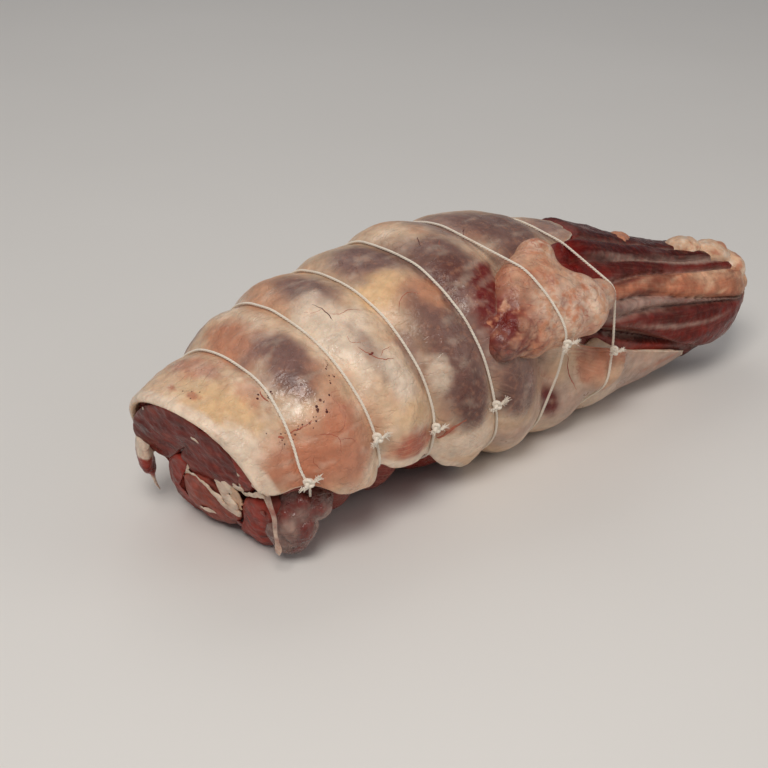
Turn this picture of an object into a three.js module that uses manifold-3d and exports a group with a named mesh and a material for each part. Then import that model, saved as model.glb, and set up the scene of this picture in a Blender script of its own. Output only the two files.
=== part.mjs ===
// A raw leg of lamb, part boned: the wide end is cut straight across, the shank is folded back over the
// thigh with its knuckle uppermost, and six rings of twine hold the roll together.
// Millimetres, +Z up. The leg lies along X, from the cut end at -X to the fold of the shank at +X. The
// knots face -Y. The origin is on the table, under the middle of the leg.
import * as THREE from 'three';
import { mergeVertices } from 'three/addons/utils/BufferGeometryUtils.js';
import Module from 'manifold-3d';

const wasm = await Module();
wasm.setup();

// ---------------------------------------------------------------- driving dimensions
const LENGTH = 357;                 // cut end to the fold of the shank
const CENTRE = new THREE.Vector3(179.1, -0.55, 0);  // the origin, in the stations' own measure
const AROUND = 38;                  // points round one section
const RING_STEP = 9.5;              // distance between two sections

// Sections of the rolled meat. along: distance from the cut end; middle: Y of its middle; half: half its
// width; top and under: heights above the table; lean and slant: how far the section runs along the leg
// for each mm up and for each mm towards the back.
const SECTIONS = [
  { along: 24, middle: -6, half: 42, top: 77, under: 0, lean: -0.50, slant: -0.13 },
  { along: 45, middle: -4, half: 52, top: 85, under: 0, lean: -0.30, slant: -0.04 },
  { along: 77, middle: 0, half: 59, top: 98, under: 0, lean: -0.20, slant: 0 },
  { along: 115, middle: 3, half: 60, top: 105, under: 0, lean: -0.16, slant: 0 },
  { along: 154, middle: 0, half: 60, top: 113, under: 0, lean: -0.16, slant: 0 },
  { along: 192, middle: 5, half: 55, top: 109, under: 0, lean: -0.14, slant: 0 },
  { along: 228, middle: 3, half: 50, top: 100, under: 0, lean: -0.05, slant: 0 },
  { along: 262, middle: -4, half: 44, top: 86, under: 2, lean: 0, slant: 0 },
  { along: 300, middle: -16, half: 36, top: 71, under: 9, lean: 0, slant: 0 },
  { along: 330, middle: -25, half: 26, top: 64, under: 17, lean: 0, slant: 0 },
  { along: 350, middle: -31, half: 14, top: 58, under: 27, lean: 0, slant: 0 },
];
const WAIST = 0.47;                 // height of a section's widest place, of its whole height
const UPPER_POWER = 2.15;           // roundness of a section's upper half; 2 is an ellipse
const LOWER_POWER = 1.95;           // and of its lower half
const SAG = 5;                      // how far the round underside is pressed flat by the table
const PRESS = 0.5;                  // trimmed off below the table, which leaves true flats to rest on

// The outer layer is rolled round the meat, and its edge stands proud along the front.
const EDGE_ANGLE = -0.42;           // of the edge, from the front, upwards being positive
const EDGE_RISE = 0.5;              // how much higher it ends at the cut
const EDGE_REACH = [125, 160];      // the edge fades out between these stations
const EDGE_STEP = 0.13;             // depth of the step under it, of the section's radius

// The front hangs out under the waist along the thigh: how much wider the section is there, at which
// station and over what length, and at which angle and over what turn.
const BELLY = { more: 0.16, at: 212, long: 50, angle: -0.68, wide: 0.45 };

// The cut end: a rim of fat round muscles that sit a little inside it.
const RIM_THICK = 4;
const FACE_DEPTH = 5;

// The rings of twine: at is the station where a ring crosses the waist, lean is as for the sections.
const TWINE_RADIUS = 0.8;
const TWINE_GAP = 0.9;
const TWINE_STEPS = 42;
const TYPICAL_RADIUS = 55;          // of a section, which turns a depth into a share of it
const WAIST_HEIGHT = 50;            // of the place where a ring may change its lean
const GROOVE = { deep: 5, wide: 8, under: 6.2, narrow: 6 };
const RINGS = [
  { at: 38.5, lean: 0.01, low: -0.55, knot: 0.02 },
  { at: 78.5, lean: -0.22, low: -0.22, knot: 0.06 },
  { at: 113.4, lean: -0.21, low: -0.06, knot: -0.14 },
  { at: 146.5, lean: -0.24, low: -0.30, knot: -0.16 },
  { at: 188.3, lean: -0.29, low: -0.05, knot: 0.19 },
  { at: 229.5, lean: -0.08, low: 0.08, knot: -0.06 },
];
const KNOT_RADIUS = 2.6;
const TAIL = { length: 6.5, root: 0.9, tip: 1.3 };

// ---------------------------------------------------------------- small helpers
const smooth = (from, to, x) => {
  const t = THREE.MathUtils.clamp((x - from) / (to - from), 0, 1);
  return t * t * (3 - 2 * t);
};
const bell = (x, width) => Math.exp(-((x / width) ** 2));
const power = (x, p) => Math.sign(x) * Math.abs(x) ** p;

// One measure of the sections at a station: a cubic through the table's rows, level with its neighbours.
function measure(name, along) {
  const last = SECTIONS.length - 1;
  const slope = (i) => {
    const before = SECTIONS[Math.max(i - 1, 0)];
    const after = SECTIONS[Math.min(i + 1, last)];
    return (after[name] - before[name]) / (after.along - before.along);
  };
  const x = THREE.MathUtils.clamp(along, SECTIONS[0].along, SECTIONS[last].along);
  const found = SECTIONS.findIndex((section) => section.along >= x);
  const i = Math.max(found - 1, 0);
  const span = SECTIONS[i + 1].along - SECTIONS[i].along;
  const t = (x - SECTIONS[i].along) / span;
  return (1 + 2 * t) * (1 - t) ** 2 * SECTIONS[i][name] + t * (1 - t) ** 2 * span * slope(i)
    + t * t * (3 - 2 * t) * SECTIONS[i + 1][name] + t * t * (t - 1) * span * slope(i + 1);
}

// The station that a ring of twine has at the height z. Below the waist it may lean another way.
function ringStation(ring, z) {
  const lean = z > WAIST_HEIGHT ? ring.lean : ring.low;
  return ring.at + lean * (z - WAIST_HEIGHT);
}

// ---------------------------------------------------------------- the rolled meat
// A point of the skin at a station and an angle, 0 at the front and a quarter turn at the top. scale
// draws the section in towards its middle and push moves it along, for the two ends.
function skinPoint(along, angle, scale = 1, push = 0) {
  const top = measure('top', along);
  const under = measure('under', along);
  const waist = under + (top - under) * WAIST;
  const up = Math.sin(angle);
  const out = -power(Math.cos(angle), 2 / UPPER_POWER) * measure('half', along);
  const rise = up > 0
    ? power(up, 2 / UPPER_POWER) * (top - waist)
    : power(up, 2 / LOWER_POWER) * (waist - under + SAG);
  const station = along + measure('lean', along) * rise + measure('slant', along) * out;

  const facing = Math.atan2(up, Math.cos(angle));
  const hang = bell(station - BELLY.at, BELLY.long) * bell(facing - BELLY.angle, BELLY.wide);
  let grow = scale + BELLY.more * hang;
  let floor = under - PRESS;
  for (const ring of RINGS) {
    const away = station - ringStation(ring, waist + rise);
    grow -= (GROOVE.deep / TYPICAL_RADIUS) * bell(away, GROOVE.wide);
    floor += GROOVE.under * bell(away, GROOVE.narrow);
  }
  const edge = EDGE_ANGLE + EDGE_RISE * (1 - smooth(SECTIONS[0].along, 62, along));
  const turned = facing - edge;
  const reach = 1 - smooth(EDGE_REACH[0], EDGE_REACH[1], along);
  grow -= reach * EDGE_STEP * (1 - smooth(-0.06, 0, turned)) * smooth(-1.25, -0.35, turned);

  const height = Math.max(waist + rise * grow, floor);
  return new THREE.Vector3(station + push, measure('middle', along) + out * grow, height);
}

// A closed skin through rings of points, with a pole at each end.
function skin(rings) {
  const count = rings[0].length;
  const points = rings.flat();
  const poles = [rings[0], rings[rings.length - 1]].map((ring) => {
    const middle = new THREE.Vector3();
    ring.forEach((point) => middle.addScaledVector(point, 1 / count));
    return points.push(middle) - 1;
  });
  const index = [];
  for (let i = 0; i < rings.length - 1; i += 1) {
    for (let j = 0; j < count; j += 1) {
      const next = (j + 1) % count;
      const a = i * count + j;
      const b = i * count + next;
      index.push(a, a + count, b + count, a, b + count, b);
    }
  }
  const end = (rings.length - 1) * count;
  for (let j = 0; j < count; j += 1) {
    const next = (j + 1) % count;
    index.push(poles[0], j, next);
    index.push(poles[1], end + next, end + j);
  }
  const geometry = new THREE.BufferGeometry().setFromPoints(points);
  geometry.setIndex(index);
  return geometry;
}

function rolledMeat() {
  const first = SECTIONS[0].along;
  const last = SECTIONS[SECTIONS.length - 1].along;
  const steps = Math.round((last - first) / RING_STEP);
  // Each row is [station, scale, push]: the face inside the rim, the rim, the roll and the rounded end.
  const rows = [
    [first, 0.45, FACE_DEPTH],
    [first, 1 - (RIM_THICK + 3) / 50, FACE_DEPTH],
    [first, 1 - RIM_THICK / 50, 1],
    [first, 0.985, -1],
  ];
  for (let i = 0; i <= steps; i += 1) rows.push([first + ((last - first) * i) / steps, 1, 0]);
  for (const turn of [0.4, 0.8, 1.2]) rows.push([last, Math.cos(turn), (LENGTH - last) * Math.sin(turn)]);
  return skin(rows.map(([along, scale, push]) => {
    const ring = [];
    for (let j = 0; j < AROUND; j += 1) {
      ring.push(skinPoint(along, (2 * Math.PI * j) / AROUND, scale, push));
    }
    return ring;
  }));
}

// ---------------------------------------------------------------- lumps that join the roll
// at: centre; size: three half lengths; turn: rotation in degrees about X, Y and Z.
const CUT_MUSCLES = [
  { at: [23, 12, 51], size: [13, 27, 21], turn: [20, 28, 0] },
  { at: [28, -21, 49], size: [13, 25, 17], turn: [42, 25, 0] },
  { at: [36, 22, 22], size: [13, 13, 21], turn: [-10, 20, 0] },
  { at: [38, 0, 20], size: [13, 18, 16], turn: [30, 20, 0] },
  { at: [45, -20, 15], size: [14, 17, 15], turn: [0, 0, 0] },
  { at: [45, -37, 21], size: [15, 14, 18], turn: [0, 0, 15] },
  { at: [54, -42, 28], size: [14, 11, 11], turn: [0, 0, 0] },
];
const HANGING_FLAP = { at: [24, 41, 23], size: [5, 4, 18], turn: [12, -20, 0] };
const KNEE = { at: [225, -43, 33], size: [16, 14, 18], turn: [0, 0, 0] };
const KNUCKLE = [
  { at: [168, -46, 79], size: [22, 15, 17], turn: [0, 0, 0] },
  { at: [202, -45, 75], size: [24, 15, 17], turn: [0, 8, 0] },
  { at: [152, -52, 75], size: [10, 9, 11], turn: [0, 0, 0] },
  { at: [191, -37, 90], size: [11, 11, 20], turn: [-35, 30, 0] },
];
const SHANK = [
  { at: [285, -46, 58], size: [66, 10, 9], turn: [0, 11, 3] },
  { at: [320, -29, 58], size: [16, 11, 12], turn: [0, 10, 0] },
  { at: [334, -36, 54], size: [14, 11, 13], turn: [0, 15, 0] },
];

function lump({ at, size, turn }) {
  const ball = new THREE.SphereGeometry(1, 12, 8);
  const place = new THREE.Matrix4().compose(
    new THREE.Vector3(...at),
    new THREE.Quaternion().setFromEuler(new THREE.Euler(...turn.map(THREE.MathUtils.degToRad))),
    new THREE.Vector3(...size),
  );
  return ball.applyMatrix4(place);
}

// ---------------------------------------------------------------- solids and meshes
function solid(geometry) {
  geometry.deleteAttribute('normal');
  geometry.deleteAttribute('uv');
  const merged = mergeVertices(geometry, 1e-4);
  return new wasm.Manifold(new wasm.Mesh({
    numProp: 3,
    vertProperties: new Float32Array(merged.attributes.position.array),
    triVerts: new Uint32Array(merged.index.array),
  }));
}

function meshOf(name, body, material) {
  const { numProp, vertProperties, triVerts } = body.getMesh();
  const geometry = new THREE.BufferGeometry();
  const points = [];
  for (let i = 0; i < vertProperties.length; i += numProp) {
    points.push(vertProperties[i], vertProperties[i + 1], vertProperties[i + 2]);
  }
  geometry.setAttribute('position', new THREE.Float32BufferAttribute(points, 3));
  geometry.setIndex(Array.from(triVerts));
  geometry.translate(-CENTRE.x, -CENTRE.y, -CENTRE.z);
  const mesh = new THREE.Mesh(geometry, material);
  mesh.name = name;
  return mesh;
}

function legOfLamb() {
  let body = solid(rolledMeat());
  for (const piece of [...CUT_MUSCLES, HANGING_FLAP, KNEE, ...KNUCKLE, ...SHANK]) {
    body = body.add(solid(lump(piece)));
  }
  const table = new THREE.BoxGeometry(2 * LENGTH, LENGTH, 40).translate(LENGTH / 2, 0, -20);
  return body.subtract(solid(table));
}

// ---------------------------------------------------------------- twine
// Where the leg crosses a ring's slanting sheet, as points of Y and Z.
function slice(body, ring, shift) {
  const { numProp, vertProperties, triVerts } = body.getMesh();
  const corner = (i) => new THREE.Vector3().fromArray(vertProperties, numProp * i);
  const side = (point) => point.x - ringStation(ring, point.z) - shift;
  const found = [];
  for (let i = 0; i < triVerts.length; i += 3) {
    for (let j = 0; j < 3; j += 1) {
      const from = corner(triVerts[i + j]);
      const to = corner(triVerts[i + ((j + 1) % 3)]);
      const start = side(from);
      const finish = side(to);
      if (start < 0 !== finish < 0) {
        const cross = from.lerp(to, start / (start - finish));
        found.push(new THREE.Vector2(cross.y, cross.z));
      }
    }
  }
  return found;
}

// The convex outline of flat points, anticlockwise: twine pulled tight round them.
function taut(points) {
  const sorted = [...points].sort((a, b) => a.x - b.x || a.y - b.y);
  const half = (list) => {
    const chain = [];
    for (const point of list) {
      while (chain.length > 1) {
        const [a, b] = chain.slice(-2);
        if ((b.x - a.x) * (point.y - a.y) - (b.y - a.y) * (point.x - a.x) > 0) break;
        chain.pop();
      }
      chain.push(point);
    }
    return chain.slice(0, -1);
  };
  return [...half(sorted), ...half(sorted.reverse())];
}

// Evenly spaced points along a closed outline, moved outwards by a distance.
function ropeLine(outline, count, distance) {
  const closed = [...outline, outline[0]];
  const line = new THREE.CurvePath();
  for (let i = 0; i < outline.length; i += 1) line.add(new THREE.LineCurve(closed[i], closed[i + 1]));
  const even = line.getSpacedPoints(count).slice(0, count);
  return even.map((point, i) => {
    const along = even[(i + 1) % count].clone().sub(even[(i + count - 1) % count]).normalize();
    return point.clone().add(new THREE.Vector2(along.y, -along.x).multiplyScalar(distance));
  });
}

function twineRing(body, ring) {
  const outline = taut([-2, -1, 0, 1, 2].flatMap((shift) => slice(body, ring, shift)));
  const route = ropeLine(outline, TWINE_STEPS, TWINE_RADIUS + TWINE_GAP);
  const points = route.map(({ x, y }) => new THREE.Vector3(ringStation(ring, y), x, y));
  const loop = new THREE.CatmullRomCurve3(points, true, 'centripetal');
  let twine = solid(new THREE.TubeGeometry(loop, TWINE_STEPS, TWINE_RADIUS, 5, true));

  // The knot sits at its angle on the front, with two short tails.
  const middle = new THREE.Vector2();
  route.forEach((point) => middle.addScaledVector(point, 1 / route.length));
  const angle = (point) => Math.atan2(point.y - middle.y, middle.x - point.x);
  const nearest = route.reduce((best, point) => (
    Math.abs(angle(point) - ring.knot) < Math.abs(angle(best) - ring.knot) ? point : best));
  const out = nearest.clone().sub(middle).normalize();
  const seat = nearest.clone().addScaledVector(out, KNOT_RADIUS - TWINE_RADIUS);
  const knot = new THREE.Vector3(ringStation(ring, seat.y), seat.x, seat.y);
  twine = twine.add(solid(new THREE.SphereGeometry(KNOT_RADIUS, 7, 5).translate(...knot)));
  for (const side of [-1, 1]) {
    const tail = new THREE.CylinderGeometry(TAIL.tip, TAIL.root, TAIL.length, 5);
    const way = new THREE.Vector3(side, out.x * 0.5, 0.35).normalize();
    const turn = new THREE.Quaternion().setFromUnitVectors(new THREE.Vector3(0, 1, 0), way);
    tail.applyQuaternion(turn).translate(...knot.clone().addScaledVector(way, TAIL.length / 2));
    twine = twine.add(solid(tail));
  }
  return twine;
}

// ---------------------------------------------------------------- the whole
const meat = new THREE.MeshStandardMaterial({ color: 0xc79a80, roughness: 0.45, metalness: 0 });
const cotton = new THREE.MeshStandardMaterial({ color: 0xe8e0cc, roughness: 0.9, metalness: 0 });

const group = new THREE.Group();
const leg = legOfLamb();
group.add(meshOf('leg', leg, meat));
RINGS.forEach((ring, i) => group.add(meshOf(`twine_${i + 1}`, twineRing(leg, ring), cotton)));

export default group;
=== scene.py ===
"""A raw leg of lamb, part boned: cut straight at its wide end, its shank folded back over the thigh with the
knuckle uppermost, rolled in its own fat and skin and held by six rings of knotted twine.

Lengths are millimetres in the leg's own measure: X is the station, counted from the cut end, Y runs to the
back and Z is the height above the table. Place turns them into the frame's metres when a mesh is made.
"""
import logging
import math
from collections.abc import Sequence
from dataclasses import dataclass, field
from enum import Enum
from itertools import product

import bpy
import numpy as np
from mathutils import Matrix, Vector


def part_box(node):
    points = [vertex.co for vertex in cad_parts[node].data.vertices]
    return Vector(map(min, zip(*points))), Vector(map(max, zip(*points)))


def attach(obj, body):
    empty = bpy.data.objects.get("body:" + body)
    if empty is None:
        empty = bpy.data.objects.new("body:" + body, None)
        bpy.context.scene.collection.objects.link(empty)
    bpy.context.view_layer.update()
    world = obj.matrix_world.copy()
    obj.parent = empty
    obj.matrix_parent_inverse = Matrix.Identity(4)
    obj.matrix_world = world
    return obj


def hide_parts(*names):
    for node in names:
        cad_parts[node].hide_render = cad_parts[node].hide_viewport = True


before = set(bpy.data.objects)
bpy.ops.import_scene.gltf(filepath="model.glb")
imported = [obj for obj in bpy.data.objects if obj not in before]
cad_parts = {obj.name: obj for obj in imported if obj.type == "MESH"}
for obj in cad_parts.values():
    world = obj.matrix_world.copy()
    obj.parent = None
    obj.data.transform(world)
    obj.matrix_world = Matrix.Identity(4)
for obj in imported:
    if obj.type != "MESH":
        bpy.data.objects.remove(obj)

Array = np.ndarray
Socket = bpy.types.NodeSocket
Piece = bpy.types.Object
Spot = tuple[float, float, float]
LOG = logging.getLogger("leg_of_lamb")
TURN = 2 * math.pi

# Where the leg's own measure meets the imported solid: the solid's far end and its furthest point back.
FAR_END = 356.5
FURTHEST_BACK = 62.2

CUT_STATION = 24.0  # of the cut end, at the waist
TABLE_GAP = 0.05  # least height of any point
RADIUS = 52.0  # of a usual section, which turns an angle round the leg into millimetres
UNDER = -1.4  # angle of the outer layer's hidden edge, under the leg
FAR_SIDE = -2.0  # angle below which a place counts as round the back


# ---- small mathematics
def smooth(low: float, high: float, value: Array | float) -> Array:
    """Rises from 0 to 1 between low and high, as 3t2 - 2t3.

    Args:
        low: where the rise starts.
        high: where it ends; it may be below low.
        value: where to measure.

    Returns:
        The share, of value's shape.
    """
    share = np.clip((value - low) / (high - low), 0.0, 1.0)
    return share * share * (3.0 - 2.0 * share)


def bell(value: Array | float, width: float) -> Array:
    """One at zero, falling as e to the minus (value / width) squared."""
    return np.exp(-((value / width) ** 2))


def power(value: Array, exponent: float) -> Array:
    """value to a power, keeping its sign."""
    return np.sign(value) * np.abs(value) ** exponent


def unit(vectors: Array) -> Array:
    """The vectors at length one."""
    return vectors / np.maximum(np.linalg.norm(vectors, axis=-1, keepdims=True), 1e-12)


def steps(points: Array, round_again: bool, axis: int = 0) -> Array:
    """The way from each point's neighbour before to the one after, along one axis of a grid.

    Args:
        points: places.
        round_again: whether the last joins the first.
        axis: the axis to go along.

    Returns:
        The steps, of points' shape.
    """
    if round_again:
        return np.roll(points, -1, axis=axis) - np.roll(points, 1, axis=axis)
    return np.gradient(points, axis=axis)


def through(at: Array | float, places: Sequence[float], values: Sequence[float]) -> Array:
    """A cubic through the values, whose slope at each is that of the line between its two neighbours.

    Args:
        at: where to measure.
        places: where the values stand, rising.
        values: the values.

    Returns:
        The measures, of at's shape.
    """
    places, values = np.asarray(places, float), np.asarray(values, float)
    count = len(places)
    ahead = np.minimum(np.arange(count) + 1, count - 1)
    behind = np.maximum(np.arange(count) - 1, 0)
    slopes = (values[ahead] - values[behind]) / (places[ahead] - places[behind])
    x = np.clip(at, places[0], places[-1])
    i = np.clip(np.searchsorted(places, x) - 1, 0, count - 2)
    span = places[i + 1] - places[i]
    t = (x - places[i]) / span
    return (
        (1 + 2 * t) * (1 - t) ** 2 * values[i]
        + t * (1 - t) ** 2 * span * slopes[i]
        + t * t * (3 - 2 * t) * values[i + 1]
        + t * t * (t - 1) * span * slopes[i + 1]
    )


def path_through(points: Sequence[Sequence[float]], count: int, closed: bool = False) -> Array:
    """An even walk along a smooth curve through points: the cubic of each coordinate over the length walked.

    Args:
        points: the points, two or three numbers each.
        count: how many points to return.
        closed: whether the curve comes back to its start.

    Returns:
        count points, evenly spaced along the curve.
    """
    known = np.asarray(points, float)
    if closed:
        known = np.concatenate([known[-3:], known, known[:4]])
    walked = np.concatenate([[0.0], np.cumsum(np.linalg.norm(np.diff(known, axis=0), axis=1))])
    start, finish = (walked[3], walked[len(known) - 4]) if closed else (0.0, walked[-1])
    dense = np.linspace(start, finish, count * 8)
    curve = np.stack([through(dense, walked, known[:, k]) for k in range(known.shape[1])], axis=1)
    length = np.concatenate([[0.0], np.cumsum(np.linalg.norm(np.diff(curve, axis=0), axis=1))])
    wanted = np.linspace(0.0, length[-1], count, endpoint=not closed)
    return np.stack([np.interp(wanted, length, curve[:, k]) for k in range(curve.shape[1])], axis=1)


class Grain:
    """Gradient noise: each corner of a lattice holds a random slope, and the slopes blend by a quintic."""

    def __init__(self, seed: int) -> None:
        """Keeps the seed, which settles every slope."""
        self.seed = seed

    def plain(self, points: Array) -> Array:
        """One layer of noise with a lattice of one unit.

        Args:
            points: places, three numbers each.

        Returns:
            Values of about -1 to 1.
        """
        cell = np.floor(points).astype(np.int64)
        inside = points - cell
        fade = inside**3 * (inside * (inside * 6 - 15) + 10)
        total = np.zeros(points.shape[:-1])
        for corner in product((0, 1), repeat=3):
            step = np.array(corner)
            lattice = (cell + step) & 0xFFFFF
            mixed = lattice[..., 0] * 73856093 ^ lattice[..., 1] * 19349663 ^ lattice[..., 2] * 83492791
            mixed = (mixed ^ (self.seed * 668265263)) & 0xFFFFFFFF
            mixed = ((mixed ^ (mixed >> 15)) * 2246822519) & 0xFFFFFFFF
            mixed = ((mixed ^ (mixed >> 13)) * 3266489917) & 0xFFFFFFFF
            slope = np.stack([(mixed >> shift) & 1023 for shift in (0, 10, 20)], axis=-1) / 511.5 - 1.0
            weight = np.prod(np.where(step == 1, fade, 1.0 - fade), axis=-1)
            total += weight * np.sum(slope * (inside - step), axis=-1)
        return total * 1.35

    def layers(self, points: Array, size: float, count: int = 3) -> Array:
        """Layers of noise, each at half the size and half the strength of the one before.

        Args:
            points: places in millimetres.
            size: the first layer's lattice, in millimetres.
            count: how many layers.

        Returns:
            Values of about -1 to 1.
        """
        total = np.zeros(points.shape[:-1])
        for layer in range(count):
            total += self.plain(points * (2**layer / size) + 17.3 * layer) / 2**layer
        return total


def cells(points: Array, size: float) -> tuple[Array, Array]:
    """Round cells: distances to the nearest and to the second nearest of scattered points.

    One point lies in each cube of a lattice, moved from its middle by sines of the cube's three numbers.

    Args:
        points: places in millimetres.
        size: the lattice's step.

    Returns:
        Both distances, in steps.
    """
    waves = np.array([[12.9898, 39.346, 73.156], [78.233, 11.135, 52.235], [37.719, 83.155, 9.151]])
    scaled = points / size
    cube = np.floor(scaled)
    near = np.full(points.shape[:-1], 9.0)
    second = near.copy()
    for step in product((-1, 0, 1), repeat=3):
        corner = cube + step
        seed = corner + 0.5 + 0.38 * np.sin(corner @ waves)
        away = np.linalg.norm(scaled - seed, axis=-1)
        second = np.minimum(second, np.maximum(near, away))
        near = np.minimum(near, away)
    return near, second


BROAD = Grain(11)
UNEVEN = Grain(23)
BLOTCH = Grain(37)


# ---- colours of tissues
class Tissue(Enum):
    """The tissues' colours, as red, green and blue of 255 on a screen."""

    CREAM_FAT = (214, 180, 148)
    PALE_FAT = (226, 203, 180)
    YELLOW_FAT = (216, 176, 130)
    PEACH = (196, 138, 106)
    ORANGE_MEAT = (184, 114, 84)
    STRIATED = (174, 92, 68)
    SILVERSKIN = (138, 106, 97)
    MAUVE = (114, 80, 72)
    DEEP_MAUVE = (98, 58, 50)
    PINK_MEAT = (152, 76, 62)
    FRESH_MEAT = (146, 52, 41)
    MAROON = (104, 30, 23)
    DARK_MEAT = (66, 14, 10)
    BLOOD = (108, 14, 10)
    DRIED = (76, 20, 15)
    BONE_TAN = (192, 128, 96)
    GRISTLE = (214, 174, 142)
    MEMBRANE = (172, 142, 128)
    WHITE_SINEW = (222, 196, 174)

    @property
    def light(self) -> Array:
        """The colour as amounts of light, by the screen's own curve."""
        shown = np.array(self.value) / 255.0
        return np.where(shown <= 0.04045, shown / 12.92, ((shown + 0.055) / 1.055) ** 2.4)


def lay_over(colour: Array, tissue: Tissue, share: Array) -> Array:
    """Colours moved towards a tissue's by a share for each point."""
    return colour + (tissue.light - colour) * np.clip(share, 0.0, 1.0)[..., None]


def dyed(base: Tissue | Array, points: Array, *layers: tuple[Tissue, Array]) -> Array:
    """A tint: one tissue's colour at every point, with others laid over it in their order.

    Args:
        base: the tissue underneath, or a colour for each place.
        points: the places, one colour for each.
        layers: each further tissue and the shares by which it covers.

    Returns:
        Red, green and blue for each point.
    """
    tint = np.broadcast_to(base.light if isinstance(base, Tissue) else base, points.shape).copy()
    for tissue, share in layers:
        tint = lay_over(tint, tissue, share)
    return tint


@dataclass(frozen=True)
class Patch:
    """A soft-edged patch of a tissue on the skin."""

    tissue: Tissue  # what it shows
    along: float  # station of its middle
    angle: float  # how far round its middle is, from the front upwards
    length: float  # half its size along the leg
    breadth: float  # half its size round the leg
    strength: float = 1.0  # how fully it covers
    turn: float = 0.0  # degrees by which it is turned on the skin
    soft: float = 0.5  # share of its size over which it fades
    torn: float = 0.35  # how far its edge wanders, as a share of its size

    def cover(self, along: Array, angle: Array, points: Array) -> Array:
        """How fully the patch covers each point: its ellipse's share, with an edge that wanders by noise.

        Args:
            along: stations.
            angle: angles round the leg.
            points: the places, for the noise.

        Returns:
            A share from 0 to 1 for each point.
        """
        size = min(self.length, self.breadth)
        wander = BLOTCH.layers(points + self.along, max(size * 0.9, 3.0), 2) * self.torn
        x = along - self.along
        y = (angle - self.angle) * RADIUS
        turn = math.radians(self.turn)
        forward = (x * math.cos(turn) + y * math.sin(turn)) / self.length
        across = (y * math.cos(turn) - x * math.sin(turn)) / self.breadth
        away = np.sqrt(forward**2 + across**2) + wander
        return self.strength * (1.0 - smooth(1.0 - self.soft, 1.0 + self.soft, away))


# ---- meshes
@dataclass
class Shape:
    """A closed mesh in the making, in millimetres."""

    points: Array  # its places
    faces: Array  # index of each face's corners, four each; a triangle repeats its third corner
    spread: Array  # the two surface measures at each corner of each face
    # Numbers kept at each place, one or three for each, by name
    marks: dict[str, Array] = field(default_factory=dict)

    def marked(self, **marks: Array | float) -> "Shape":
        """The shape with these marks in place of its own; a single number is kept at every place."""
        self.marks = {name: spread_out(value, (len(self.points),)) for name, value in marks.items()}
        return self

    def outwards(self) -> "Shape":
        """The shape with its faces turned out, by the sign of the volume that they hold."""
        a, b, c, d = (self.points[self.faces[:, k]] for k in range(4))
        volume = np.sum(np.cross(a, b) * c) + np.sum(np.cross(a, c) * d)
        if volume < 0:
            three = self.faces[:, 2] == self.faces[:, 3]
            order = np.where(three[:, None], [0, 2, 1, 1], [0, 3, 2, 1])
            self.faces = np.take_along_axis(self.faces, order, axis=1)
            self.spread = np.take_along_axis(self.spread, order[..., None], axis=1)
        return self


def spread_out(value: Array | float, shape: tuple[int, ...]) -> Array:
    """A number repeated to fill a shape; anything else as it is."""
    return np.full(shape, float(value)) if np.ndim(value) == 0 else value


def joined(shapes: Sequence[Shape]) -> Shape:
    """Several shapes as one, each still closed on its own."""
    start = np.cumsum([0] + [len(shape.points) for shape in shapes[:-1]])
    names = sorted(set().union(*(shape.marks for shape in shapes)))
    marks = {
        name: np.concatenate([shape.marks.get(name, np.zeros(len(shape.points))) for shape in shapes])
        for name in names
    }
    return Shape(
        np.concatenate([shape.points for shape in shapes]),
        np.concatenate([shape.faces + first for shape, first in zip(shapes, start)]),
        np.concatenate([shape.spread for shape in shapes]),
        marks,
    )


def grid_faces(rows: int, columns: int, around: bool) -> tuple[Array, Array]:
    """The faces of a grid, row by row.

    Args:
        rows: number of rows.
        columns: number of columns.
        around: whether the last column joins the first.

    Returns:
        The corners' places in the grid, four for each face, and the row and column of each corner.
    """
    last = columns if around else columns - 1
    i, j = np.meshgrid(np.arange(rows - 1), np.arange(last), indexing="ij")
    i, j = i.ravel(), j.ravel()
    row = np.stack([i, i, i + 1, i + 1], axis=1)
    column = np.stack([j, j + 1, j + 1, j], axis=1)
    return row * columns + column % columns, np.stack([row, column], axis=-1).astype(float)


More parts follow.
